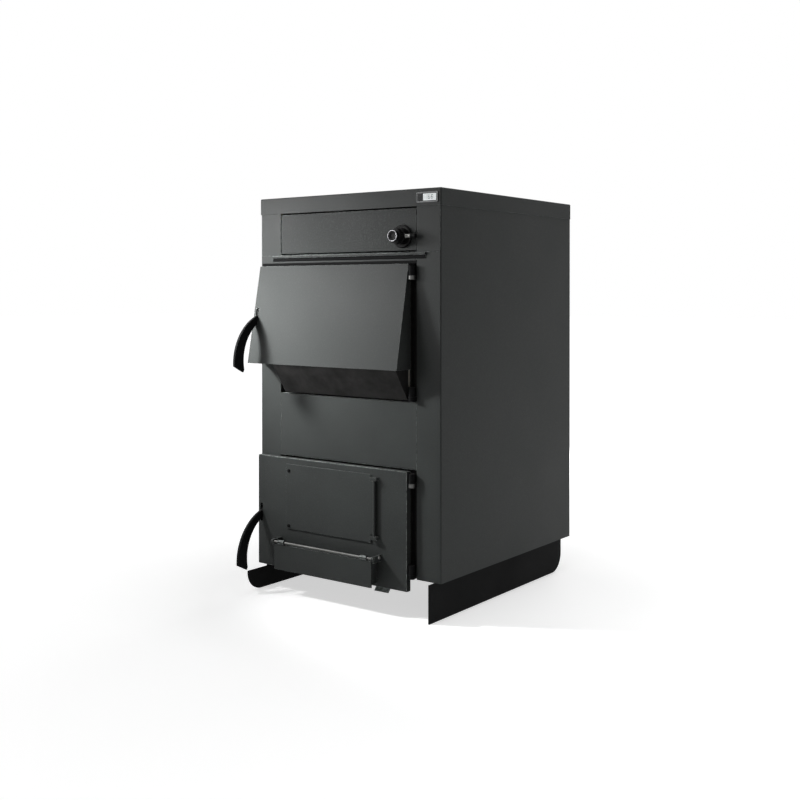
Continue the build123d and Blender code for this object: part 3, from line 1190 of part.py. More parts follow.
def body_pieces():
    return {
        "body_front_plate": front_plate(),
        "body_floor": floor_plate(),
        "water_jacket": water_jacket(),
        "firebox_shell": firebox_shell(),
        "heat_exchanger_pockets": heat_exchanger_pockets(),
        "loading_frame": door_frame(LOADING_DOORWAY_BOTTOM, LOADING_DOORWAY_TOP),
        "ash_frame": door_frame(ASH_DOORWAY_BOTTOM, ASH_DOORWAY_TOP),
        "body_hinges": body_hinges(),
        "latch_keepers": latch_keepers(),
        "grate": grate(),
        "ash_pan": ash_pan(),
        "flue_collar": flue_collar(),
        "flue_damper": flue_damper(),
        "flue_damper_lever": flue_damper_lever(),
        "flow_return_sockets": flow_return_sockets(),
        "drain_socket": drain_socket(),
        "leg_left": left_leg(),
        "leg_right": leg(RIGHT_LEG_START, False),
        "leg_bolts": leg_bolts(),
    }


def place(shape):
    """Move a piece from the casing's corner to the object's own origin."""
    return Pos(0, FRONT_FACE_Y, LEG_HEIGHT) * shape


def placed_node(shape):
    """One placed piece, or a group of separate solids under one name."""
    if isinstance(shape, list):
        solids = [solid for piece in shape for solid in place(piece).solids()]
        return Compound(children=solids)
    return place(shape)


def all_pieces():
    pieces = {}
    for group in (casing_pieces, body_pieces, loading_pieces, ash_pieces):
        pieces.update(group())
    return pieces


os.makedirs("parts", exist_ok=True)
for name, shape in all_pieces().items():
    export_step(placed_node(shape), os.path.join("parts", name + ".step"))
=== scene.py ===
import json
import math

import bmesh
import bpy
from mathutils import Matrix, Vector


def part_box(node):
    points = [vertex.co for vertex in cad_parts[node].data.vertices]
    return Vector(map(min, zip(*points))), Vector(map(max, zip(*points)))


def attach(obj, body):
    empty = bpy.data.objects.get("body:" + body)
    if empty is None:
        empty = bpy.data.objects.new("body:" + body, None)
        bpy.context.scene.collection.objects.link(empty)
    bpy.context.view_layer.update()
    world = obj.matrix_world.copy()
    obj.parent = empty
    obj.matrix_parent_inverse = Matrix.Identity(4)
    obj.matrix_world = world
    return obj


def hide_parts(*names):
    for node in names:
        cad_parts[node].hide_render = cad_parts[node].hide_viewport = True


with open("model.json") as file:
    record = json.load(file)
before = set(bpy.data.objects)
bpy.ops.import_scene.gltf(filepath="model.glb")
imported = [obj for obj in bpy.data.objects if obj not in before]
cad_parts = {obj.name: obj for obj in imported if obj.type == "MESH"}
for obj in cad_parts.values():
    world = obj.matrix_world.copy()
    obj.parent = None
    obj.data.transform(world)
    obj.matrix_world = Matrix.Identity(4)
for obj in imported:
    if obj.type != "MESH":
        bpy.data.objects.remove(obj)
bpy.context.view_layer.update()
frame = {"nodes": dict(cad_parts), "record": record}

# A wood boiler in dark grey powder-coated sheet. Lengths are in metres, in the model's own frame:
# X to the right, Y to the rear, Z up, origin on the floor under the middle.

MM = 0.001

# Camera, fitted to the casing's corners in the photograph
CAMERA_PLACE = (1.7982, -2.5102, 0.8021)
CAMERA_YAW = 36.589
CAMERA_PITCH = -0.394
FOCAL_PIXELS = 1096.15
CENTRE_ROW = 300.0
PHOTO_SIZE = 800.0
SENSOR_WIDTH = 36.0

# Flat patches of the finishes, as sRGB values
CASING_GREY = (0.212, 0.221, 0.218)
PANEL_GREY = (0.207, 0.216, 0.213)
BLACK_PAINT = (0.062, 0.064, 0.066)
BODY_STEEL = (0.135, 0.132, 0.13)
TURNED_STEEL = (0.56, 0.56, 0.55)
ZINC = (0.34, 0.34, 0.335)
CHROME = (0.55, 0.55, 0.56)
CAST_IRON = (0.15, 0.145, 0.14)
VERMICULITE = (0.74, 0.66, 0.52)
ROPE = (0.83, 0.81, 0.76)
WOOL = (0.72, 0.66, 0.45)
BLACK_PLASTIC = (0.06, 0.06, 0.062)
GREY_PLASTIC = (0.5, 0.51, 0.51)
SCREEN = (0.93, 0.95, 0.95)
SCREEN_DARK = (0.1, 0.105, 0.11)
DUST = (0.52, 0.5, 0.47)
RUST = (0.3, 0.17, 0.1)
SOOT = (0.2, 0.17, 0.14)
VERMICULITE_FLAKES = (0.86, 0.76, 0.52)

# How a powder coat strays from its flat patch
CLOUD_SPREAD = 0.05
FLAKE_SHADE = 1.3
FLAKE_SHARE = 0.5
# How much paler rims are, for edge wear and as painted highlight
WORN_AND_HIGHLIGHT_SHADE = 2.9
WORN_GLOSS = 0.2
DUST_DULLNESS = 0.3

SHARP_ANGLE = 28.0
MERGE_DISTANCE = 0.00002
FLAT_ANGLE = 0.4
EDGE_DEPTH = 0.003
RIM = "rim"
LIT = "lit"
GROOVE = "groove"


def linear(colour, factor=1.0):
    """An sRGB colour, made darker or lighter by a factor, as the linear RGBA that a socket takes."""
    tones = [min(1.0, tone * factor) for tone in colour]
    parts = [tone / 12.92 if tone <= 0.04045 else ((tone + 0.055) / 1.055) ** 2.4 for tone in tones]
    return (*parts, 1.0)


# Shader node groups

class Group:
    """A node group that is filled in with short calls."""

    def __init__(self, name, kind="ShaderNodeTree"):
        self.tree = bpy.data.node_groups.new(name, kind)
        self.inside = self.tree.nodes.new("NodeGroupInput")
        self.outside = self.tree.nodes.new("NodeGroupOutput")

    def value(self, name, default, kind="NodeSocketFloat"):
        """A named input."""
        socket = self.tree.interface.new_socket(name, in_out="INPUT", socket_type=kind)
        socket.default_value = default

    def values(self, **defaults):
        """Named inputs that are plain numbers, with spaces for the underscores."""
        for name, default in defaults.items():
            self.value(name.replace("_", " "), default)

    def put(self, name):
        return self.inside.outputs[name]

    def result(self, name, source, kind="NodeSocketFloat"):
        self.tree.interface.new_socket(name, in_out="OUTPUT", socket_type=kind)
        self.tree.links.new(source, self.outside.inputs[name])

    def noise(self, place, size_name, detail, roughness):
        """Noise in spots of the size that one of the group's inputs gives."""
        node = self.tree.nodes.new("ShaderNodeTexNoise")
        node.inputs["Detail"].default_value = detail
        node.inputs["Roughness"].default_value = roughness
        self.tree.links.new(place, node.inputs["Vector"])
        self.tree.links.new(math_node(self.tree, "DIVIDE", 1.0, self.put(size_name)), node.inputs["Scale"])
        return node.outputs["Fac"]


def fill(tree, socket, given):
    """Fills a socket from another socket or with a plain value."""
    if isinstance(given, bpy.types.NodeSocket):
        tree.links.new(given, socket)
    else:
        socket.default_value = given


def math_node(tree, operation, first, second, clamp=False):
    node = tree.nodes.new("ShaderNodeMath")
    node.operation = operation
    node.use_clamp = clamp
    fill(tree, node.inputs[0], first)
    fill(tree, node.inputs[1], second)
    return node.outputs[0]


def times(tree, first, second, clamp=False):
    return math_node(tree, "MULTIPLY", first, second, clamp)


def mix_colour(tree, mask, first, second, share=1.0):
    """The first colour with the second over it where the mask is, at a share of the mask's strength."""
    if share != 1.0:
        mask = times(tree, mask, share)
    node = tree.nodes.new("ShaderNodeMix")
    node.data_type = "RGBA"
    for name, given in (("Factor_Float", mask), ("A_Color", first), ("B_Color", second)):
        fill(tree, next(s for s in node.inputs if s.identifier == name), given)
    return next(s for s in node.outputs if s.identifier == "Result_Color")


def ramp(tree, value, low=0.0, high=1.0, bottom=0.0, top=1.0):
    """Stretches a value so that low gives the bottom and high gives the top."""
    node = tree.nodes.new("ShaderNodeMapRange")
    for name, given in (("From Min", low), ("From Max", high), ("To Min", bottom), ("To Max", top)):
        node.inputs[name].default_value = given
    tree.links.new(value, node.inputs["Value"])
    return node.outputs["Result"]


def object_place(tree):
    return tree.nodes.new("ShaderNodeTexCoord").outputs["Object"]


def marked(tree, name):
    """A mask from an attribute that the meshes carry."""
    node = tree.nodes.new("ShaderNodeAttribute")
    node.attribute_name = name
    return node.outputs["Fac"]


def coat_grain():
    """Sprayed coat: a fine grain over a slow ripple, and a speckle of slightly paler flakes."""
    group = Group("coat_grain")
    group.values(Grain_Size=1.6 * MM, Ripple_Size=12.0 * MM, Ripple_Share=0.3)
    tree = group.tree
    place = object_place(tree)
    grain = group.noise(place, "Grain Size", 2.0, 0.6)
    ripple = group.noise(place, "Ripple Size", 1.0, 0.4)
    share = group.put("Ripple Share")
    fine = times(tree, grain, math_node(tree, "SUBTRACT", 1.0, share))
    group.result("Height", math_node(tree, "ADD", fine, times(tree, ripple, share)))
    group.result("Speckle", ramp(tree, grain, 0.52, 0.72))
    return group.tree


def rim_wear_and_highlight():
    """Bent and cut edges, where the coat is thin and where the rims catch the light: a mask that follows the
    rims, broken up by noise, for wear and painted highlight.
    """
    group = Group("rim_wear_and_highlight")
    group.values(Amount=0.5, Break_Size=10.0 * MM)
    tree = group.tree
    patches = group.noise(object_place(tree), "Break Size", 3.0, 0.6)
    mask = times(tree, marked(tree, RIM), ramp(tree, patches, 0.3, 0.62))
    group.result("Mask", times(tree, mask, group.put("Amount"), clamp=True))
    return tree


def settled_dust():
    """Dust on faces that look up, in soft patches."""
    group = Group("settled_dust")
    group.values(Amount=0.3, Patch_Size=90.0 * MM)
    tree = group.tree
    split = tree.nodes.new("ShaderNodeSeparateXYZ")
    tree.links.new(tree.nodes.new("ShaderNodeTexCoord").outputs["Normal"], split.inputs[0])
    patches = group.noise(object_place(tree), "Patch Size", 4.0, 0.6)
    mask = times(tree, ramp(tree, split.outputs["Z"], 0.3, 1.0), ramp(tree, patches, 0.3, 0.75))
    group.result("Mask", times(tree, mask, group.put("Amount"), clamp=True))
    return tree


def handling_marks():
    """Faint cloudy smears that change the tone and gloss of a large sheet."""
    group = Group("handling_marks")
    group.values(Cloud_Size=160.0 * MM)
    cloud = group.noise(object_place(group.tree), "Cloud Size", 3.0, 0.55)
    group.result("Cloud", ramp(group.tree, cloud, 0.3, 0.7))
    return group.tree


def scorch():
    """Soot, rust or stain: soft clouds of one colour over another."""
    group = Group("scorch")
    group.value("Base", (0.1, 0.1, 0.1, 1.0), "NodeSocketColor")
    group.value("Soot", (0.01, 0.01, 0.01, 1.0), "NodeSocketColor")
    group.values(Amount=0.6, Cloud_Size=50.0 * MM)
    tree = group.tree
    cloud = group.noise(object_place(tree), "Cloud Size", 5.0, 0.6)
    mask = times(tree, ramp(tree, cloud, 0.35, 0.65), group.put("Amount"), clamp=True)
    group.result("Colour", mix_colour(tree, mask, group.put("Base"), group.put("Soot")), "NodeSocketColor")
    group.result("Mask", mask)
    return tree


def turning_lines():
    """Fine lines left by a lathe or a brush, side by side from front to rear."""
    group = Group("turning_lines")
    group.values(Line_Size=0.6 * MM)
    tree = group.tree
    stretch = tree.nodes.new("ShaderNodeMapping")
    stretch.inputs["Scale"].default_value = (0.06, 1.0, 0.06)
    tree.links.new(object_place(tree), stretch.inputs["Vector"])
    lines = group.noise(stretch.outputs[0], "Line Size", 2.0, 0.5)
    group.result("Height", lines)
    group.result("Mask", ramp(tree, lines, 0.4, 0.65))
    return tree


GROUPS = {make.__name__: make() for make in (
    coat_grain, rim_wear_and_highlight, settled_dust, handling_marks, scorch, turning_lines,
)}


# Materials

class Finish:
    """A material with one Principled shader, filled in with short calls."""

    def __init__(self, name, roughness, metallic=0.0, specular=0.5):
        self.material = bpy.data.materials.new(name)
        self.material.use_nodes = True
        self.tree = self.material.node_tree
        self.shader = self.tree.nodes["Principled BSDF"]
        self.set("Roughness", roughness)
        self.set("Metallic", metallic)
        self.set("Specular IOR Level", specular)

    def set(self, socket, value):
        self.shader.inputs[socket].default_value = value

    def link(self, source, socket):
        self.tree.links.new(source, self.shader.inputs[socket])

    def use(self, name, **values):
        node = self.tree.nodes.new("ShaderNodeGroup")
        node.node_tree = GROUPS[name]
        for key, value in values.items():
            node.inputs[key.replace("_", " ")].default_value = value
        return node.outputs

    def bump(self, height, distance):
        node = self.tree.nodes.new("ShaderNodeBump")
        node.inputs["Distance"].default_value = distance
        node.inputs["Strength"].default_value = 1.0
        self.tree.links.new(height, node.inputs["Height"])
        self.link(node.outputs["Normal"], "Normal")

    def roughness_between(self, mask, low, high):
        self.link(ramp(self.tree, mask, bottom=low, top=high), "Roughness")


def powder_coat(name, colour, grain_size, grain_depth, ripple_share, roughness, wear_and_highlight, dust, specular):
    """Satin powder coat: grain, paler flakes, cloudy tone and gloss, rims made paler for wear and as painted
    highlight, and a little dust.
    """
    coat = Finish(name, roughness, 0.0, specular)
    grain = coat.use("coat_grain", Grain_Size=grain_size * MM, Ripple_Share=ripple_share)
    clouds = coat.use("handling_marks")["Cloud"]
    rims = coat.use("rim_wear_and_highlight", Amount=wear_and_highlight)["Mask"]
    settled = coat.use("settled_dust", Amount=dust)["Mask"]
    tree = coat.tree
    base = mix_colour(tree, clouds, linear(colour, 1 - CLOUD_SPREAD), linear(colour, 1 + CLOUD_SPREAD))
    flaked = mix_colour(tree, grain["Speckle"], base, linear(colour, FLAKE_SHADE), FLAKE_SHARE)
    # Paler rims: part edge wear, part painted highlight where edges catch the light.
    edged = mix_colour(tree, rims, flaked, linear(colour, WORN_AND_HIGHLIGHT_SHADE))
    coat.link(mix_colour(tree, settled, edged, linear(DUST)), "Base Color")
    gloss = ramp(tree, clouds, bottom=roughness - CLOUD_SPREAD, top=roughness + CLOUD_SPREAD)
    worn = math_node(tree, "SUBTRACT", gloss, times(tree, rims, WORN_GLOSS))
    coat.link(math_node(tree, "ADD", worn, times(tree, settled, DUST_DULLNESS), clamp=True), "Roughness")
    coat.bump(grain["Height"], grain_depth * MM)
    return coat.material


def casing_paint():
    return powder_coat("casing_paint", CASING_GREY, grain_size=2.2, grain_depth=0.22, ripple_share=0.35,
                       roughness=0.45, wear_and_highlight=0.8, dust=0.05, specular=0.1)


def panel_paint():
    return powder_coat("panel_paint", PANEL_GREY, grain_size=4.8, grain_depth=1.1, ripple_share=0.2,
                       roughness=0.45, wear_and_highlight=0.6, dust=0.05, specular=0.08)


def black_paint():
    return powder_coat("black_paint", BLACK_PAINT, grain_size=1.4, grain_depth=0.4, ripple_share=0.1,
                       roughness=0.7, wear_and_highlight=0.35, dust=0.08, specular=0.06)


def black_plastic():
    return powder_coat("black_plastic", BLACK_PLASTIC, grain_size=0.6, grain_depth=0.08, ripple_share=0.1,
                       roughness=0.42, wear_and_highlight=0.4, dust=0.05, specular=0.07)


def grey_plastic():
    return powder_coat("grey_plastic", GREY_PLASTIC, grain_size=0.6, grain_depth=0.06, ripple_share=0.1,
                       roughness=0.45, wear_and_highlight=0.1, dust=0.0, specular=0.45)


def body_steel():
    """Welded plate with mill scale, primer and soot."""
    plate = Finish("body_steel", 0.6, 0.1, 0.15)
    stain = plate.use("scorch", Base=linear(BODY_STEEL), Soot=linear(BODY_STEEL, 0.45), Amount=0.7)
    grain = plate.use("coat_grain", Grain_Size=3.0 * MM, Ripple_Share=0.4)
    rims = plate.use("rim_wear_and_highlight", Amount=0.5)["Mask"]
    plate.link(mix_colour(plate.tree, rims, stain["Colour"], linear(BODY_STEEL, 2.2)), "Base Color")
    plate.roughness_between(stain["Mask"], 0.5, 0.78)
    plate.bump(grain["Height"], 0.3 * MM)
    return plate.material


def metal(name, colour, roughness, line_depth, stain):
    """Bare metal with fine tool lines and a dulled patch here and there."""
    bright = Finish(name, roughness, 1.0)
    lines = bright.use("turning_lines")
    dull = bright.use("scorch", Base=linear(colour), Soot=linear(colour, 0.72), Amount=stain,
                      Cloud_Size=20.0 * MM)
    lined = mix_colour(bright.tree, lines["Mask"], dull["Colour"], linear(colour, 1.12), 0.25)
    bright.link(lined, "Base Color")
    bright.roughness_between(dull["Mask"], roughness, roughness + 0.25)
    bright.bump(lines["Height"], line_depth * MM)
    return bright.material


def bare_steel():
    return metal("bare_steel", TURNED_STEEL, roughness=0.34, line_depth=0.06, stain=0.6)


def zinc_steel():
    return metal("zinc_steel", ZINC, roughness=0.45, line_depth=0.03, stain=0.5)


def chrome():
    return metal("chrome", CHROME, roughness=0.16, line_depth=0.008, stain=0.12)


def grate_iron():
    """Cast iron: coarse sand-cast skin with patches of rust."""
    iron = Finish("grate_iron", 0.7, 0.5)
    grain = iron.use("coat_grain", Grain_Size=3.5 * MM, Ripple_Size=10.0 * MM, Ripple_Share=0.4)
    rust = iron.use("scorch", Base=linear(CAST_IRON), Soot=linear(RUST), Amount=0.45, Cloud_Size=20.0 * MM)
    rims = iron.use("rim_wear_and_highlight", Amount=0.6)["Mask"]
    iron.link(mix_colour(iron.tree, rims, rust["Colour"], linear(CAST_IRON, 2.4)), "Base Color")
    iron.roughness_between(grain["Height"], 0.55, 0.85)
    iron.bump(grain["Height"], 1.2 * MM)
    return iron.material


def fire_block():
    """Pressed vermiculite board: pale flakes and clouds of soot."""
    board = Finish("fire_block", 0.88, 0.0, 0.3)
    grain = board.use("coat_grain", Grain_Size=4.0 * MM, Ripple_Size=20.0 * MM, Ripple_Share=0.3)
    soot = board.use("scorch", Base=linear(VERMICULITE), Soot=linear(SOOT), Amount=0.75,
                     Cloud_Size=110.0 * MM)
    flaked = mix_colour(board.tree, grain["Speckle"], soot["Colour"], linear(VERMICULITE_FLAKES), 0.7)
    board.link(flaked, "Base Color")
    board.roughness_between(grain["Speckle"], 0.92, 0.6)
    board.bump(grain["Height"], 1.2 * MM)
    return board.material


def fibre(name, colour, grain_size, depth):
    """Mineral or glass fibre: soft, matte and tangled, with painted shade darker in the grooves between
    strands.
    """
    tangle = Finish(name, 0.95, 0.0, 0.2)
    tangle.set("Sheen Weight", 0.25)
    grain = tangle.use("coat_grain", Grain_Size=grain_size * MM, Ripple_Size=30.0 * MM, Ripple_Share=0.35)
    tree = tangle.tree
    threads = mix_colour(tree, grain["Height"], linear(colour, 0.62), linear(colour, 1.15))
    # Painted shade: the colour darkens where the groove mark is, between strands.
    tangle.link(mix_colour(tree, marked(tree, GROOVE), threads, linear(colour, 0.4)), "Base Color")
    tangle.roughness_between(grain["Speckle"], 0.98, 0.85)
    tangle.bump(grain["Height"], depth * MM)
    return tangle.material


def rope():
    return fibre("rope", ROPE, grain_size=2.5, depth=1.2)


def wool():
    return fibre("wool", WOOL, grain_size=4.0, depth=3.0)


def screen_glass():
    """Display window: dark acrylic, with a pale panel where the lit attribute is set."""
    window = Finish("screen_glass", 0.2, 0.0, 0.08)
    window.set("Emission Strength", 0.55)
    grain = window.use("coat_grain", Grain_Size=2.0 * MM)
    tree = window.tree
    lit = marked(tree, LIT)
    panel = mix_colour(tree, grain["Speckle"], linear(SCREEN), linear(SCREEN, 0.9), 0.1)
    window.link(mix_colour(tree, lit, linear(SCREEN_DARK), panel), "Base Color")
    window.link(mix_colour(tree, lit, (0.0, 0.0, 0.0, 1.0), panel), "Emission Color")
    window.roughness_between(grain["Height"], 0.18, 0.26)
    return window.material


# Each of the record's slots has the function of its name
MATERIALS = {make.__name__: make() for make in (
    casing_paint, panel_paint, black_paint, black_plastic, grey_plastic, body_steel, bare_steel, zinc_steel,
    chrome, grate_iron, fire_block, rope, wool, screen_glass,
)}

SLOT_OF_NODE = {part["node"]: part["material_slot"] for part in frame["record"]["subparts"]}
BODIES = frame["record"]["behaviour"]["bodies"]
BODY_OF_NODE = {node: body for body, nodes in BODIES.items() for node in nodes}


# Mesh helpers

def in_scene(name, data):
    """A new object with the given data, at the origin."""
    item = bpy.data.objects.new(name, data)
    bpy.context.scene.collection.objects.link(item)
    return item


def new_piece(name, mesh, slot, body, *nodes):
    """Puts a finished mesh in the scene as a piece that rides on a body and stands for some nodes."""
    piece = in_scene(name, mesh)
    if not mesh.materials:
        mesh.materials.append(MATERIALS[slot])
    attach(piece, body)
    if nodes:
        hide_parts(*nodes)


def stand_in(node, mesh):
    """Puts a finished mesh in the scene in place of a node, with the node's own slot and body."""
    new_piece(node + "_piece", mesh, SLOT_OF_NODE[node], BODY_OF_NODE[node], node)


def evaluated_mesh(holder):
    """The mesh of an object with its modifiers worked in. The holder is removed."""
    bpy.context.view_layer.update()
    graph = bpy.context.evaluated_depsgraph_get()
    mesh = bpy.data.meshes.new_from_object(holder.evaluated_get(graph), depsgraph=graph)
    bpy.data.objects.remove(holder)
    return mesh


def joined(node):
    """A working copy of a node's mesh with its loose triangles joined."""
    work = bmesh.new()
    work.from_mesh(frame["nodes"][node].data)
    bmesh.ops.remove_doubles(work, verts=work.verts, dist=MERGE_DISTANCE)
    return work


def plain_mesh(name, work):
    """A mesh from a working one, which is freed."""
    mesh = bpy.data.meshes.new(name)
    work.to_mesh(mesh)
    work.free()
    return mesh


def merged_copy(node):
    """A node's mesh with its triangles joined and its flat faces made whole."""
    work = joined(node)
    bmesh.ops.dissolve_limit(work, angle_limit=math.radians(FLAT_ANGLE), verts=work.verts, edges=work.edges)
    return plain_mesh(node + "_merged", work)


def rounded_mesh(mesh, width):
    """Rounds a mesh's sharp edges and marks the new faces in the rim attribute."""
    holder = in_scene("rounding", mesh)
    mesh.materials.clear()
    for part in ("field", "rim"):
        mesh.materials.append(bpy.data.materials.get(part) or bpy.data.materials.new(part))
    bevel = holder.modifiers.new("round", "BEVEL")
    bevel.width = width
    bevel.segments = 2
    bevel.limit_method = "ANGLE"
    bevel.angle_limit = math.radians(SHARP_ANGLE)
    bevel.material = 1
    for face in mesh.polygons:
        face.use_smooth = True
        face.material_index = 0
    weighting = holder.modifiers.new("flat faces", "WEIGHTED_NORMAL")
    weighting.weight = 100
    mesh = evaluated_mesh(holder)
    rim = mesh.attributes.new(RIM, "FLOAT", "FACE")
    rim.data.foreach_set("value", [float(face.material_index) for face in mesh.polygons])
    for face in mesh.polygons:
        face.material_index = 0
    mesh.materials.clear()
    return mesh


def mark_folds(mesh, straight):
    """Counts folded and filleted faces, which look along no axis, as rims too, so that they get the rims'
    wear and painted highlight.
    """
    rim = mesh.attributes[RIM]
    for face in mesh.polygons:
        if max(abs(part) for part in face.normal) < straight:
            rim.data[face.index].value = 1.0


def dress(node, width, straight=0.0, **moves):
    """Replaces a node by itself with rounded edges, marked as rims for wear and painted highlight.

    moves may set a new height for its lower or upper edge.
    """
    mesh = merged_copy(node)
    low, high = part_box(node)
    for vert in mesh.vertices:
        if "low_edge" in moves and vert.co.z < low.z + EDGE_DEPTH:
            vert.co.z += moves["low_edge"] - low.z
        if "high_edge" in moves and vert.co.z > high.z - EDGE_DEPTH:
            vert.co.z += moves["high_edge"] - high.z
    mesh = rounded_mesh(mesh, width)
    mark_folds(mesh, straight)
    stand_in(node, mesh)


def islands(node):
    """Lowest and highest corner of each separate solid in a node."""
    work = joined(node)
    left = set(work.verts)
    boxes = []
    while left:
        found = {left.pop()}
        edge_front = list(found)
        while edge_front:
            step = {edge.other_vert(vert) for vert in edge_front for edge in vert.link_edges} & left
            left -= step
            found |= step
            edge_front = list(step)
        places = [vert.co for vert in found]
        boxes.append((Vector(map(min, zip(*places))), Vector(map(max, zip(*places)))))
    work.free()
    return sorted(boxes, key=lambda box: tuple(box[0]))


def middle(box):
    return (box[0] + box[1]) / 2


def turned(name, outline, centre, axis, steps=96):
    """A turned piece: an outline of (radius, distance) points spun about an axis through a point.
    An outline that starts and ends on the axis makes a solid one, and any other a ring."""
    work = bmesh.new()
    corners = [work.verts.new((radius, 0.0, distance)) for radius, distance in outline]
    following = corners[1:] if outline[0][0] == 0 else corners[1:] + corners[:1]
    edges = [work.edges.new(pair) for pair in zip(corners, following)]
    bmesh.ops.spin(work, geom=corners + edges, cent=(0, 0, 0), axis=(0, 0, 1), dvec=(0, 0, 0),
                   angle=2 * math.pi, steps=steps, use_duplicate=False)
    bmesh.ops.remove_doubles(work, verts=work.verts, dist=MERGE_DISTANCE / 2)
    bmesh.ops.dissolve_degenerate(work, edges=work.edges, dist=MERGE_DISTANCE / 10)
    bmesh.ops.recalc_face_normals(work, faces=work.faces)
    turn = Vector(axis).to_track_quat("Z", "Y").to_matrix().to_4x4()
    work.transform(Matrix.Translation(centre) @ turn)
    return finished_mesh(name, work)


def finished_mesh(name, work):
    """A mesh from a working one, smooth but for its sharp edges."""
    mesh = plain_mesh(name, work)
    mesh.polygons.foreach_set("use_smooth", [True] * len(mesh.polygons))
    mesh.set_sharp_from_angle(angle=math.radians(SHARP_ANGLE))
    return mesh


def draw_out(work, face, offset):
    """Draws a face of a working mesh out into a solid."""
    drawn = bmesh.ops.extrude_face_region(work, geom=[face])["geom"]
    moved = [part for part in drawn if isinstance(part, bmesh.types.BMVert)]
    bmesh.ops.translate(work, verts=moved, vec=offset)


def drawn_along_x(name, outline, x0, x1):
    """A bar with a closed outline of (Y, Z) points, drawn along X."""
    work = bmesh.new()
    face = work.faces.new([work.verts.new((x0, y, z)) for y, z in outline])
    draw_out(work, face, (x1 - x0, 0, 0))
    bmesh.ops.recalc_face_normals(work, faces=work.faces)
    return finished_mesh(name, work)


def rounded_corner(centre_radius, centre_distance, size, start, end, count=6):
    """Points on a quarter round of a turned outline, between two angles in degrees."""
    angles = [math.radians(start + (end - start) * step / count) for step in range(count + 1)]
    return [(centre_radius + size * math.cos(a), centre_distance + size * math.sin(a)) for a in angles]


# Geometry node trees

class Growth(Group):
    """A geometry node tree that is filled in with short calls."""

    def __init__(self, name):
        super().__init__(name, "GeometryNodeTree")
        for way in ("INPUT", "OUTPUT"):
            self.tree.interface.new_socket("Geometry", in_out=way, socket_type="NodeSocketGeometry")

    def add(self, kind, **given):
        """Adds a node. Sockets are filled by name, from a value or another socket."""
        node = self.tree.nodes.new(kind)
        for key, value in given.items():
            self.fill(node.inputs[key.replace("_", " ")], value)
        return node

    def fill(self, socket, given):
        fill(self.tree, socket, given)

    def times(self, first, second):
        return times(self.tree, first, second)

    def along(self, **parts):
        return self.add("ShaderNodeCombineXYZ", **parts).outputs[0]

    def moved(self, source, **given):
        """The geometry of a node, moved or turned."""
        return self.add("GeometryNodeTransform", Geometry=source.outputs[0], **given).outputs[0]

    def together(self, *parts):
        """Several geometries as one."""
        both = self.add("GeometryNodeJoinGeometry")
        for part in parts:
            self.fill(both.inputs[0], part)
        return both

    def end(self, geometry, slot):
        """Realizes the instances, sets the material and closes the tree."""
        whole = self.add("GeometryNodeRealizeInstances", Geometry=geometry)
        finished = self.add("GeometryNodeSetMaterial", Geometry=whole.outputs[0], Material=MATERIALS[slot])
        self.fill(self.outside.inputs["Geometry"], finished.outputs[0])
        return self.tree

    def end_on_points(self, instance, slot):
        """Closes the tree with one geometry set on every point that comes in."""
        placed = self.add("GeometryNodeInstanceOnPoints", Points=self.put("Geometry"), Instance=instance)
        return self.end(placed.outputs[0], slot)


def grown(tree, start_mesh, **sizes):
    """Runs a tree on a start mesh with the given sizes and returns the result as a plain mesh."""
    holder = in_scene("growing", start_mesh)
    modifier = holder.modifiers.new("growth", "NODES")
    modifier.node_group = tree
    wanted = {key.replace("_", " "): value for key, value in sizes.items()}
    for item in tree.interface.items_tree:
        if item.item_type == "SOCKET" and item.in_out == "INPUT" and item.name in wanted:
            modifier[item.identifier] = wanted[item.name]
    return evaluated_mesh(holder)


def points_mesh(places):
    mesh = bpy.data.meshes.new("places")
    mesh.from_pydata([tuple(place) for place in places], [], [])
    return mesh


def screw_tree(name, slot, turn, crossed):
    """Pan-head screws on points: a domed head with a slot or a cross cut into it, and a shank."""
    growth = Growth(name)
    growth.values(Head_Radius=4.5 * MM, Head_Height=2.5 * MM, Slot_Width=1.0 * MM, Slot_Depth=1.2 * MM,
                  Shank_Radius=2.0 * MM, Shank_Length=5.0 * MM)
    radius = growth.put("Head Radius")
    height = growth.put("Head Height")
    width = growth.put("Slot Width")
    rim = growth.times(height, 0.5)
    flat = growth.add("GeometryNodeMeshCylinder", Vertices=28, Radius=radius, Depth=rim)
    low = growth.moved(flat, Translation=growth.along(Z=growth.times(height, 0.25)))
    dome = growth.add("GeometryNodeMeshCone", Vertices=28, Radius_Top=growth.times(radius, 0.66),
                      Radius_Bottom=growth.times(radius, 0.995), Depth=rim)
    high = growth.moved(dome, Translation=growth.along(Z=rim))
    shank_length = growth.put("Shank Length")
    shank = growth.add("GeometryNodeMeshCylinder", Vertices=16, Radius=growth.put("Shank Radius"),
                       Depth=shank_length)
    sunk = growth.moved(shank, Translation=growth.along(Z=growth.times(shank_length, -0.5)))
    length = growth.times(radius, 1.3 if crossed else 2.4)
    depth = growth.times(growth.put("Slot Depth"), 2.0)
    cutters = [growth.along(X=length, Y=width, Z=depth)]
    if crossed:
        cutters.append(growth.along(X=width, Y=length, Z=depth))
    head = growth.add("GeometryNodeMeshBoolean")
    head.operation = "UNION"
    growth.fill(head.inputs["Mesh 2"], low)
    growth.fill(head.inputs["Mesh 2"], high)
    current = head.outputs["Mesh"]
    for size in cutters:
        box = growth.add("GeometryNodeMeshCube", Size=size)
        cut = growth.add("GeometryNodeMeshBoolean")
        cut.operation = "DIFFERENCE"
        growth.fill(cut.inputs["Mesh 1"], current)
        growth.fill(cut.inputs["Mesh 2"], growth.moved(box, Translation=growth.along(Z=height)))
        current = cut.outputs["Mesh"]
    return growth.end_on_points(growth.moved(growth.together(current, sunk), Rotation=turn), slot)


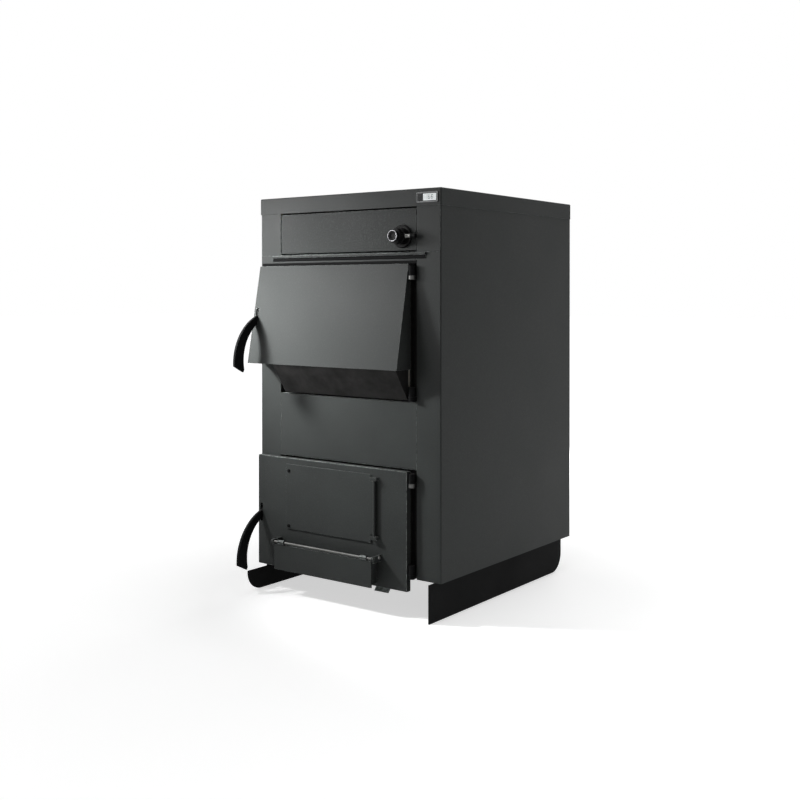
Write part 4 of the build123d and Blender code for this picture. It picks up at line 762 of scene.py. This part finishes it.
def rib_tree(slot):
    """A round grip with ribs laid round it."""
    growth = Growth("grip_ribs")
    growth.value("Rib Count", 24, "NodeSocketInt")
    growth.values(Circle_Radius=17.5 * MM, Rib_Radius=1.4 * MM, Rib_Length=11.0 * MM)
    growth.value("Centre", (0.0, 0.0, 0.0), "NodeSocketVector")
    ring = growth.add("GeometryNodeMeshCircle", Vertices=growth.put("Rib Count"),
                      Radius=growth.put("Circle Radius"))
    rib = growth.add("GeometryNodeMeshCylinder", Vertices=12, Radius=growth.put("Rib Radius"),
                     Depth=growth.put("Rib Length"))
    ribs = growth.add("GeometryNodeInstanceOnPoints", Points=ring.outputs[0], Instance=rib.outputs[0])
    laid = growth.moved(ribs, Rotation=(math.pi / 2, 0, 0), Translation=growth.put("Centre"))
    return growth.end(growth.together(laid, growth.put("Geometry")).outputs[0], slot)


def thread_tree(slot):
    """Thread ridges inside a socket, from the mouth inwards, on each point."""
    growth = Growth("thread_ridges")
    growth.values(Bore_Radius=22.0 * MM, Pitch=2.3 * MM, Turns=8.0, Ridge_Radius=0.8 * MM)
    radius = growth.put("Bore Radius")
    turns = growth.put("Turns")
    helix = growth.add("GeometryNodeCurveSpiral", Resolution=36, Rotations=turns, Start_Radius=radius,
                       End_Radius=radius, Height=growth.times(growth.put("Pitch"), turns))
    profile = growth.add("GeometryNodeCurvePrimitiveCircle", Resolution=6, Radius=growth.put("Ridge Radius"))
    ridge = growth.add("GeometryNodeCurveToMesh", Curve=helix.outputs[0], Profile_Curve=profile.outputs[0],
                       Fill_Caps=True)
    return growth.end_on_points(growth.moved(ridge, Rotation=(math.pi / 2, 0, 0)), slot)


# Edge radius of each node that keeps its own shape, in millimetres
EDGE_RADIUS = {
    "top_cover": 0.5, "side_panel_left": 0.5, "side_panel_right": 0.5, "front_fascia": 0.6, "rear_panel": 0.5,
    "body_front_plate": 1.0, "loading_frame": 1.2, "ash_frame": 1.2, "water_jacket": 0.8,
    "firebox_shell": 1.0, "heat_exchanger_pockets": 2.0, "grate": 3.0, "ash_pan": 0.5, "leg_left": 0.8,
    "leg_right": 0.8,
    "leg_bolts": 0.6, "latch_keepers": 0.7, "body_hinges": 0.7, "flue_collar": 0.8, "flue_damper": 0.6,
    "flue_damper_lever": 0.9, "flow_return_sockets": 1.2, "drain_socket": 0.8, "loading_door_box": 0.9,
    "loading_door_inner_plate": 0.9, "loading_door_block": 2.5, "loading_door_hinge_eyes": 0.7,
    "loading_latch": 0.6, "ash_door_inner_plate": 0.9, "ash_door_block": 2.5, "ash_door_hinge_eyes": 0.7,
    "ash_latch": 0.6, "air_duct": 0.8, "air_flap_rod": 0.6, "body_floor": 0.8, "casing_support_rails": 0.4,
    "casing_insulation": 3.0, "loading_door_wool": 2.0, "ash_door_liner": 1.5, "raking_hatch": 0.9,
}

# Nodes whose folds and fillets are marked as rims like their edges: worn, and paler as a painted highlight
# where they catch the light
FOLDED_RADIUS = {
    "loading_door_cover": 0.7, "ash_door_pan": 0.7, "air_flap": 1.0, "loading_handle_lever": 0.5,
    "ash_handle_lever": 0.5,
}
FOLD_STRAIGHT = 0.96


def front_panels():
    """Panels that stand off from their neighbours, so that the seams between them read dark."""
    seam = 3.5 * MM
    cover_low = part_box("top_cover")[0].z
    fascia_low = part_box("front_fascia")[0].z
    door_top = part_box("loading_door_cover")[1].z
    ash_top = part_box("ash_door_pan")[1].z
    dress("control_panel", 0.6 * MM, high_edge=cover_low - seam, low_edge=fascia_low + 1.5 * seam)
    dress("front_header_panel", 0.6 * MM, low_edge=door_top + 1.5 * seam)
    dress("front_middle_panel", 0.7 * MM, low_edge=ash_top + seam)


def ledge_strip():
    """Drip strip: a rounded lip, undercut below, with closed ends. Gives its lip's lower height."""
    low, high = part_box("ledge_strip")
    undercut = 4.5 * MM
    lip_low = low.z + 6.5 * MM
    top_slope = 1.2 * MM
    outline = [(high.y, low.z), (low.y + undercut, low.z), (low.y + undercut, lip_low), (low.y, lip_low),
               (low.y, high.z - top_slope), (low.y + 2 * top_slope, high.z), (high.y, high.z)]
    stand_in("ledge_strip", rounded_mesh(drawn_along_x("ledge", outline, low.x, high.x), 0.6 * MM))
    return lip_low


# Black pieces on the front, which ride with the drip strip: painted shade, set as a bead, a strip and a
# backing board where the undercut and seams lie in shade
TRIM_CLEAR = 0.1 * MM


# Puts a black piece of painted shade on the drip strip's body.
def painted_shade_trim(name, mesh):
    new_piece(name, mesh, "black_paint", BODY_OF_NODE["ledge_strip"])


def ledge_shade_bead(lip_low):
    """Black bead under the drip strip, as painted shade in its undercut."""
    low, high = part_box("ledge_strip")
    bead = 2.5 * MM
    slope = 1.5 * MM
    wall = high.y + TRIM_CLEAR
    bottom = lip_low - 9.0 * MM
    top = lip_low - TRIM_CLEAR
    outline = [(wall, bottom), (wall - bead + slope, bottom), (wall - bead, bottom + slope),
               (wall - bead, top), (wall, top)]
    painted_shade_trim("ledge_shade_bead", drawn_along_x("ledge_shade_bead", outline, low.x + slope, high.x - slope))


def door_top_shade_strip():
    """Flat black strip over the loading door, as painted shade for the dark line above the door."""
    door_low, door_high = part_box("loading_door_cover")
    strip = 0.8 * MM
    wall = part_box("ledge_strip")[1].y + TRIM_CLEAR
    front = wall - strip - TRIM_CLEAR
    top = door_high.z + 8.0 * MM
    outline = [(wall, door_high.z + strip), (front, door_high.z + strip), (front, top - strip / 2),
               (wall - strip / 2, top), (wall, top)]
    mesh = drawn_along_x("door_top_shade_strip", outline, door_low.x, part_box("front_header_panel")[1].x)
    painted_shade_trim("door_top_shade_strip", mesh)


def control_panel_shade_board():
    """Black board behind the control panel, as painted shade that keeps the seams round it dark."""
    low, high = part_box("control_panel")
    reach = 12.0 * MM
    board_low = Vector((low.x - reach, high.y + 3 * TRIM_CLEAR, low.z - reach))
    board_high = Vector((high.x + reach, high.y + 2.5 * MM, high.z + reach))
    painted_shade_trim("control_panel_shade_board", slab("board", board_low, board_high, 0.5 * MM))


def hinge_bushings():
    """Zinc-plated bushings round the lugs, just under the upper eye of each door."""
    wall = 0.3 * MM
    height = 10.3 * MM
    for door in ("loading_door", "ash_door"):
        low, high = max(islands(door + "_hinge_eyes"), key=lambda box: box[0].z)
        radius = (high.y - low.y) / 2
        foot = Vector((high.x - radius, (low.y + high.y) / 2, low.z - height))
        top = height - wall
        outline = [(radius - wall, 0.0), (radius, 0.0), (radius + wall, wall), (radius + wall, top - wall),
                   (radius, top), (radius - wall, top)]
        new_piece(door + "_hinge_bushing", turned("bushing", outline, foot, (0, 0, 1), 40), "zinc_steel",
                  BODY_OF_NODE["body_hinges"])


def ear_bolts():
    """Domed bolt heads on the outer flanks of the air box's ears."""
    low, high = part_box("air_duct")
    rod_low, rod_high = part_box("air_flap_rod")
    body = BODY_OF_NODE["air_duct"]
    head = 4.8 * MM
    height = 2.8 * MM
    dome = 0.65 * height
    sunk = 0.3 * MM
    for name, place, out in (("ear_bolt_right", high.x, 1), ("ear_bolt_left", low.x, -1)):
        centre = Vector((place, high.y - 9.0 * MM, middle((rod_low, rod_high)).z))
        outline = [(0.0, -sunk), (head, -sunk), (head, height - dome)]
        for step in range(1, 6):
            angle = math.pi / 2 * step / 6
            outline.append((head * math.cos(angle), height - dome + dome * math.sin(angle)))
        outline.append((0.0, height))
        new_piece(name, turned(name, outline, centre, (out, 0, 0), 32), "bare_steel", body)


# Display

FIGURES = "168"
SEGMENTS = {"1": "bc", "6": "afgedc", "8": "abcdefg"}
SEGMENT_ENDS = {
    "a": ((0, 1), (1, 1)), "b": ((1, 0.5), (1, 1)), "c": ((1, 0), (1, 0.5)), "d": ((0, 0), (1, 0)),
    "e": ((0, 0), (0, 0.5)), "f": ((0, 0.5), (0, 1)), "g": ((0, 0.5), (1, 0.5)),
}
BAR_SHARE = 0.13
BAR_GAP = 0.2
FIGURE_DEPTH = 0.2 * MM
FIGURE_HEIGHT = 0.56
FIGURE_WIDTH = 0.55
FIGURE_PITCH = 1.75
FIGURE_LEFT = 0.16
FIGURE_LOW = 0.22


def lit_faces(mesh, value):
    """Marks all of a mesh's faces as lit, 1, or dark, 0."""
    mark = mesh.attributes.new(LIT, "FLOAT", "FACE")
    mark.data.foreach_set("value", [value] * len(mesh.polygons))
    return mesh


def slab(name, low, high, corner):
    """A plate facing the front with round corners, between two places."""
    work = bmesh.new()
    steps = 6
    ring = []
    for turn, (cx, cz) in enumerate(((high.x - corner, high.z - corner), (low.x + corner, high.z - corner),
                                     (low.x + corner, low.z + corner), (high.x - corner, low.z + corner))):
        for step in range(steps + 1):
            angle = math.pi / 2 * (turn + step / steps)
            ring.append((cx + corner * math.cos(angle), cz + corner * math.sin(angle)))
    face = work.faces.new([work.verts.new((x, low.y, z)) for x, z in ring])
    draw_out(work, face, (0, high.y - low.y, 0))
    bmesh.ops.recalc_face_normals(work, faces=work.faces)
    return finished_mesh(name, work)


def figure(work, text, corner, width, height):
    """Adds a seven-segment figure made of flat bars with pointed ends, from its lower left corner."""
    bar = height * BAR_SHARE
    for segment in SEGMENTS[text]:
        start, end = (corner + Vector((x * width, 0, z * height)) for x, z in SEGMENT_ENDS[segment])
        along = (end - start).normalized()
        across = along.cross(Vector((0, 1, 0))) * bar / 2
        point = along * bar / 2
        start += along * bar * BAR_GAP
        end -= along * bar * BAR_GAP
        ring = [start, start + point + across, end - point + across, end, end - point - across,
                start + point - across]
        draw_out(work, work.faces.new([work.verts.new(place) for place in ring]), (0, FIGURE_DEPTH, 0))


def display_figures(low, high):
    """The figures, as thin plates just in front of the pale panel between two places."""
    work = bmesh.new()
    space = high - low
    height = FIGURE_HEIGHT * space.z
    width = FIGURE_WIDTH * height
    for index, text in enumerate(FIGURES):
        left = low.x + FIGURE_LEFT * space.x + index * width * FIGURE_PITCH
        corner = Vector((left, low.y - 0.15 * MM, low.z + FIGURE_LOW * space.z))
        figure(work, text, corner, width, height)
    bmesh.ops.recalc_face_normals(work, faces=work.faces)
    return finished_mesh("display_figures", work)


def display_frame(border):
    """Rounded grey frame, recessed for the window. Gives the window's two corners."""
    low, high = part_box("display_housing")
    trim = 2.5 * MM
    recess = 1.4 * MM
    outer_low = Vector((low.x, low.y, low.z + trim))
    outer_high = Vector((high.x, high.y, high.z - trim))
    work = bmesh.new()
    work.from_mesh(slab("display_frame", outer_low, outer_high, 3.0 * MM))
    front = next(face for face in work.faces if face.normal.y < -0.9)
    bmesh.ops.inset_region(work, faces=[front], thickness=border, use_even_offset=True)
    bmesh.ops.translate(work, verts=front.verts, vec=(0, recess, 0))
    stand_in("display_housing", rounded_mesh(finished_mesh("display_frame", work), 0.5 * MM))
    return (Vector((outer_low.x + border, low.y + 0.6 * MM, outer_low.z + border)),
            Vector((outer_high.x - border, low.y + 1.35 * MM, outer_high.z - border)))


def display():
    """Small read-out on the cover's lip: a rounded frame, a dark window and a pale panel with figures."""
    body = BODY_OF_NODE["display_housing"]
    low, high = display_frame(3.2 * MM)
    stand_in("display_screen", lit_faces(slab("display_window", low, high, 1.0 * MM), 0.0))
    panel_left = low.x + 0.3 * (high.x - low.x)
    margin = 1.2 * MM
    panel_low = Vector((panel_left, low.y - 0.2 * MM, low.z + margin))
    panel_high = Vector((high.x - 1.0 * MM, low.y + 0.1 * MM, high.z - margin))
    panel = lit_faces(slab("display_panel", panel_low, panel_high, 0.8 * MM), 1.0)
    new_piece("display_panel", panel, "screen_glass", body)
    figures = lit_faces(display_figures(panel_low, panel_high), 0.0)
    new_piece("display_figures", figures, "screen_glass", body)


# Draught regulator. Its outlines count distances forwards from the model's middle plane.

TO_FRONT = (0, -1, 0)
TO_RIGHT = (1, 0, 0)
SHAFT = 13.0 * MM
NECK = 8.0 * MM
SOFT_LIP = 1.2 * MM


def ahead(node):
    """How far forward a node's rear and front are."""
    low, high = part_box(node)
    return -high.y, -low.y


def half_width(node):
    low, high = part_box(node)
    return (high.x - low.x) / 2


def regulator_stem(centre):
    """Shaft with a grooved disc near the panel and a thinner neck for the grip."""
    rear, front = ahead("regulator_stem")
    arm_rear, arm_front = ahead("regulator_arm")
    disc = half_width("regulator_stem")
    disc_front = arm_rear - 0.5 * MM
    disc_rear = disc_front - 6.0 * MM
    step = 1.5 * MM
    outline = [(0.0, rear), (SHAFT, rear), (SHAFT, disc_rear), (disc, disc_rear)]
    outline += rounded_corner(disc - 2 * step, disc_front - 2 * step, 2 * step, 0, 90)
    outline += [(disc - 3 * step, disc_front), (disc - 3.6 * step, disc_front - step),
                (disc - 5 * step, disc_front - step), (disc - 5.6 * step, disc_front), (SHAFT, disc_front),
                (SHAFT, arm_front), (NECK, arm_front), (NECK, front), (0.0, front)]
    stand_in("regulator_stem", turned("stem", outline, centre, TO_FRONT))


def regulator_grip(centre):
    """Round grip with ribs laid round it."""
    rear, front = ahead("regulator_grip")
    rib = 1.5 * MM
    core = half_width("regulator_grip") - rib
    bore = NECK + 0.2 * MM
    outline = [(bore, rear), (core - SOFT_LIP, rear), (core, rear + SOFT_LIP)]
    outline += rounded_corner(core - SOFT_LIP, front - SOFT_LIP, SOFT_LIP, 0, 90)
    outline += [(bore, front)]
    grip = turned("grip", outline, centre, TO_FRONT)
    stand_in("regulator_grip", grown(rib_tree("black_plastic"), grip, Rib_Count=24, Circle_Radius=core,
                                     Rib_Radius=rib * 0.95, Rib_Length=front - rear - 2 * SOFT_LIP,
                                     Centre=(centre.x, -(rear + front) / 2, centre.z)))


def regulator_nose(centre):
    """Bright ring on the grip's front, with a black insert set back in it."""
    rear, front = ahead("regulator_nose")
    ring = half_width("regulator_nose")
    wall = 1.9 * MM
    outline = [(ring - wall, rear), (ring - 0.6 * MM, rear)]
    outline += rounded_corner(ring - wall / 2, front - wall / 2, wall / 2, 0, 180, 10)
    stand_in("regulator_nose", turned("nose", outline, centre, TO_FRONT))
    inside = ring - wall - 0.1 * MM
    shoulder = front - 3.0 * MM
    hollow = front - 3.6 * MM
    outline = [(0.0, rear), (inside, rear), (inside, shoulder)]
    outline += rounded_corner(inside - SOFT_LIP, shoulder, SOFT_LIP, 0, 90)
    outline += [(inside * 0.6, front - 2.2 * MM), (inside * 0.4, hollow), (0.0, hollow)]
    new_piece("regulator_nose_insert", turned("nose_insert", outline, centre, TO_FRONT), "black_plastic",
              BODY_OF_NODE["regulator_nose"])


def regulator_arm(centre):
    """Arm on the shaft: a ring, a short rod to the right and a black cap with a groove at its end."""
    low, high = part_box("regulator_arm")
    rear, front = ahead("regulator_arm")
    body = BODY_OF_NODE["regulator_arm"]
    ring = (high.z - low.z) / 2
    bore = SHAFT + 0.3 * MM
    chamfer = 1.5 * MM
    outline = [(bore, rear), (ring - chamfer, rear), (ring, rear + chamfer), (ring, front - chamfer),
               (ring - chamfer, front), (bore, front)]
    new_piece("regulator_arm_ring", turned("arm_ring", outline, centre, TO_FRONT), "black_plastic", body)

    root = Vector((centre.x, (low.y + high.y) / 2, centre.z))
    reach = high.x - centre.x
    cap_start = reach - 15.0 * MM
    rod = 6.0 * MM
    collar = rod * 0.9
    shank = rod * 0.8
    outline = [(0.0, ring - 2.0 * MM), (collar, ring - 2.0 * MM), (collar, ring + 2.0 * MM),
               (shank, ring + 2.6 * MM), (shank, cap_start), (0.0, cap_start)]
    stand_in("regulator_arm", turned("arm_rod", outline, root, TO_RIGHT, 48))

    groove = rod * 0.88
    outline = [(0.0, cap_start - 1.0 * MM), (rod - SOFT_LIP, cap_start - 1.0 * MM)]
    outline += [(radius, cap_start + lips * SOFT_LIP)
                for radius, lips in ((rod, 1), (rod, 4), (groove, 5), (groove, 7), (rod, 8))]
    outline += rounded_corner(rod - SOFT_LIP, reach - SOFT_LIP, SOFT_LIP, 0, 90)
    outline += [(0.0, reach)]
    new_piece("regulator_arm_cap", turned("arm_cap", outline, root, TO_RIGHT, 48), "black_plastic", body)


def regulator():
    nose = middle(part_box("regulator_nose"))
    centre = Vector((nose.x, 0.0, nose.z))
    for build in (regulator_stem, regulator_grip, regulator_nose, regulator_arm):
        build(centre)


# Screws and threads

def head_places(node, side, head):
    """Where the heads of a node's screws start, on the side that they are driven from."""
    return [Vector((middle(box).x, box[0].y + head if side < 0 else box[1].y - head, middle(box).z))
            for box in islands(node)]


def screws(node, side, crossed, **sizes):
    """The screws of a node, driven in from the front for side -1 and from the rear for side 1."""
    tree = screw_tree(node + "_tree", SLOT_OF_NODE[node], (-side * math.pi / 2, 0, 0), crossed)
    places = head_places(node, side, sizes["Head_Height"])
    stand_in(node, grown(tree, points_mesh(places), **sizes))


def socket_threads():
    ridges = thread_tree("bare_steel")
    for node, bore, pitch in (("flow_return_sockets", 22.4, 2.3), ("drain_socket", 9.3, 1.8)):
        ridge = 0.45 * pitch * MM
        mouth = ridge + 1.0 * MM
        places = [Vector((middle(box).x, box[1].y - mouth, middle(box).z)) for box in islands(node)]
        mesh = grown(ridges, points_mesh(places), Bore_Radius=bore * MM, Pitch=pitch * MM,
                     Ridge_Radius=ridge)
        new_piece(node + "_threads", mesh, "bare_steel", BODY_OF_NODE[node])


# Rope seals

def rope_path(low, high, corner, spacing):
    """Even steps round a rectangle with round corners: a place, the way outwards and the way gone."""
    half_x = (high.x - low.x) / 2 - corner
    half_z = (high.z - low.z) / 2 - corner
    centre = middle((low, high))
    quarter = math.pi / 2 * corner
    stretches = [2 * half_z, quarter, 2 * half_x, quarter] * 2
    total = sum(stretches)
    count = round(total / spacing)
    places = []
    for index in range(count):
        left = total * index / count
        stretch = 0
        while left > stretches[stretch]:
            left -= stretches[stretch]
            stretch += 1
        side = stretch // 2
        turn = math.pi / 2 * side
        if stretch % 2 == 0:
            span = half_z if side % 2 == 0 else half_x
            away = (half_x if side % 2 == 0 else half_z) + corner
            local = Vector((away, left - span))
            facing = turn
        else:
            angle = left / corner
            edge = Vector((half_x, half_z) if side % 2 == 0 else (half_z, half_x))
            local = edge + corner * Vector((math.cos(angle), math.sin(angle)))
            facing = turn + angle
        x = local.x * math.cos(turn) - local.y * math.sin(turn)
        z = local.x * math.sin(turn) + local.y * math.cos(turn)
        outward = Vector((math.cos(facing), 0, math.sin(facing)))
        places.append((centre + Vector((x, 0, z)), outward, total * index / count))
    return places, total


ROPE_WIDTH = 13.0 * MM
ROPE_CORNER = 9.0 * MM
ROPE_STEP = 1.3 * MM
STRAND_PITCH = 9.0 * MM
STRANDS = 10
AROUND = 28
ROPE_SQUARENESS = 0.7
GROOVE_DEPTH = 0.13


def rope_ring(work, groove, place, outward, half_depth, phase):
    """One round of points about the rope's middle, raised where the crossing strands are."""
    ring = []
    for step in range(AROUND):
        angle = 2 * math.pi * step / AROUND
        round_place = (math.cos(angle), math.sin(angle))
        across, deep = (math.copysign(abs(part) ** ROPE_SQUARENESS, part) for part in round_place)
        strands = [abs(math.sin((STRANDS * angle + way * phase) / 2)) for way in (1, -1)]
        height = (strands[0] * strands[1]) ** 0.5
        size = 1.0 - GROOVE_DEPTH * (1.0 - height)
        spot = place + outward * (ROPE_WIDTH / 2 * across * size)
        spot.y += half_depth * deep * size
        vert = work.verts.new(spot)
        # The groove mark, strongest deep between strands, drives painted shade in the fibre finish.
        vert[groove] = (1.0 - height) ** 2
        ring.append(vert)
    return ring


def rope_seal(node):
    """Braided rope pressed into a flat ring, its strands crossing in diamonds."""
    low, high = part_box(node)
    inset = Vector((ROPE_WIDTH / 2, 0, ROPE_WIDTH / 2))
    places, total = rope_path(low + inset, high - inset, ROPE_CORNER, ROPE_STEP)
    waves = round(total / STRAND_PITCH)
    work = bmesh.new()
    groove = work.verts.layers.float.new(GROOVE)
    half_depth = (high.y - low.y) / 2
    rings = [rope_ring(work, groove, place, outward, half_depth, 2 * math.pi * waves * distance / total)
             for place, outward, distance in places]
    for ring, following in zip(rings, rings[1:] + rings[:1]):
        for step in range(AROUND):
            after = (step + 1) % AROUND
            work.faces.new((ring[step], following[step], following[after], ring[after]))
    bmesh.ops.recalc_face_normals(work, faces=work.faces)
    mesh = plain_mesh(node, work)
    mesh.polygons.foreach_set("use_smooth", [True] * len(mesh.polygons))
    stand_in(node, mesh)


for node_name, radius in EDGE_RADIUS.items():
    dress(node_name, radius * MM)
for node_name, radius in FOLDED_RADIUS.items():
    dress(node_name, radius * MM, FOLD_STRAIGHT)
front_panels()
ledge_shade_bead(ledge_strip())
door_top_shade_strip()
control_panel_shade_board()
ear_bolts()
hinge_bushings()
display()
regulator()
screws("raking_hatch_screws", -1, False, Head_Height=3.0 * MM, Slot_Width=1.2 * MM, Slot_Depth=1.4 * MM)
screws("rear_panel_screws", 1, True, Head_Height=2.5 * MM, Slot_Width=0.9 * MM, Slot_Depth=1.3 * MM,
       Shank_Length=8.0 * MM)
socket_threads()
for node_name in ("loading_door_gasket", "ash_door_gasket"):
    rope_seal(node_name)


# Stage, camera and light

FADE_START = 0.6
FADE_END = 3.2
NEAR_LIFT = 0.6


def seen_directly(tree):
    """1 for rays from the camera, and for what is seen in metal or through glass."""
    path = tree.nodes.new("ShaderNodeLightPath")
    straight = math_node(tree, "MAXIMUM", path.outputs["Is Camera Ray"], path.outputs["Is Transmission Ray"])
    return math_node(tree, "MAXIMUM", straight, path.outputs["Is Glossy Ray"])


def pale_floor():
    """A large pale floor that fades to plain white away from the boiler and keeps its shadow."""
    mesh = bpy.data.meshes.new("floor")
    half = 30.0
    corners = [(-half, -half, 0), (half, -half, 0), (half, half, 0), (-half, half, 0)]
    mesh.from_pydata(corners, [], [(0, 1, 2, 3)])
    floor = in_scene("floor", mesh)
    finish = Finish("floor_paint", 0.9, 0.0, 0.0)
    tree = finish.tree
    finish.set("Base Color", (0.8, 0.8, 0.8, 1.0))
    finish.set("Emission Color", (1.0, 1.0, 1.0, 1.0))
    distance = tree.nodes.new("ShaderNodeVectorMath")
    distance.operation = "LENGTH"
    tree.links.new(object_place(tree), distance.inputs[0])
    far = ramp(tree, distance.outputs["Value"], FADE_START, FADE_END)
    lift = ramp(tree, far, bottom=NEAR_LIFT)
    finish.link(times(tree, lift, seen_directly(tree)), "Emission Strength")
    mesh.materials.append(finish.material)


def photograph_camera():
    data = bpy.data.cameras.new("camera")
    data.sensor_width = SENSOR_WIDTH
    data.lens = FOCAL_PIXELS / PHOTO_SIZE * SENSOR_WIDTH
    data.shift_y = -(PHOTO_SIZE / 2 - CENTRE_ROW) / PHOTO_SIZE
    camera = in_scene("camera", data)
    camera.location = CAMERA_PLACE
    camera.rotation_euler = (math.radians(90 + CAMERA_PITCH), 0.0, math.radians(CAMERA_YAW))
    bpy.context.scene.camera = camera


def lamp(name, place, aim, size, power, spread=180.0, matte=True, gloss=True):
    """A soft square light at a place, aimed at a point."""
    data = bpy.data.lights.new(name, "AREA")
    data.shape = "SQUARE"
    data.size = size
    data.energy = power
    data.spread = math.radians(spread)
    light = in_scene(name, data)
    light.location = place
    light.rotation_euler = (Vector(aim) - Vector(place)).to_track_quat("-Z", "Y").to_euler()
    light.visible_camera = False
    light.visible_diffuse = matte
    light.visible_glossy = gloss


def world_light(strength):
    """Even white surroundings: plain white where they are seen, softer as light."""
    world = bpy.data.worlds.new("world")
    bpy.context.scene.world = world
    world.use_nodes = True
    tree = world.node_tree
    background = tree.nodes["Background"]
    background.inputs["Color"].default_value = (1.0, 1.0, 1.0, 1.0)
    tree.links.new(ramp(tree, seen_directly(tree), bottom=strength), background.inputs["Strength"])


pale_floor()
photograph_camera()
world_light(0.11)
lamp("key", (-0.79, -0.83, 1.03), (-0.12, -0.34, 0.6), 0.16, 3.9, spread=62.0, gloss=False)
lamp("key_sheen", (-0.79, -0.83, 1.03), (0.0, -0.36, 0.6), 0.4, 7.0, matte=False)
lamp("low_sheen", (-1.39, -1.93, 1.2), (0.0, -0.36, 0.68), 0.9, 16.0, matte=False)
lamp("high_sheen", (-1.25, -1.9, 1.7), (0.0, -0.36, 0.68), 0.6, 18.0, matte=False)
lamp("side_fill", (1.87, 0.29, 0.3), (0.3, 0.1, 0.35), 1.0, 3.9, gloss=False)
lamp("top_fill", (0.0, -0.1, 3.0), (0.0, 0.0, 1.0), 1.4, 30.0)
lamp("rear_fill", (-0.32, 2.5, 0.93), (0.0, 0.35, 0.5), 1.4, 30.0)

bpy.context.scene.view_settings.view_transform = "Standard"
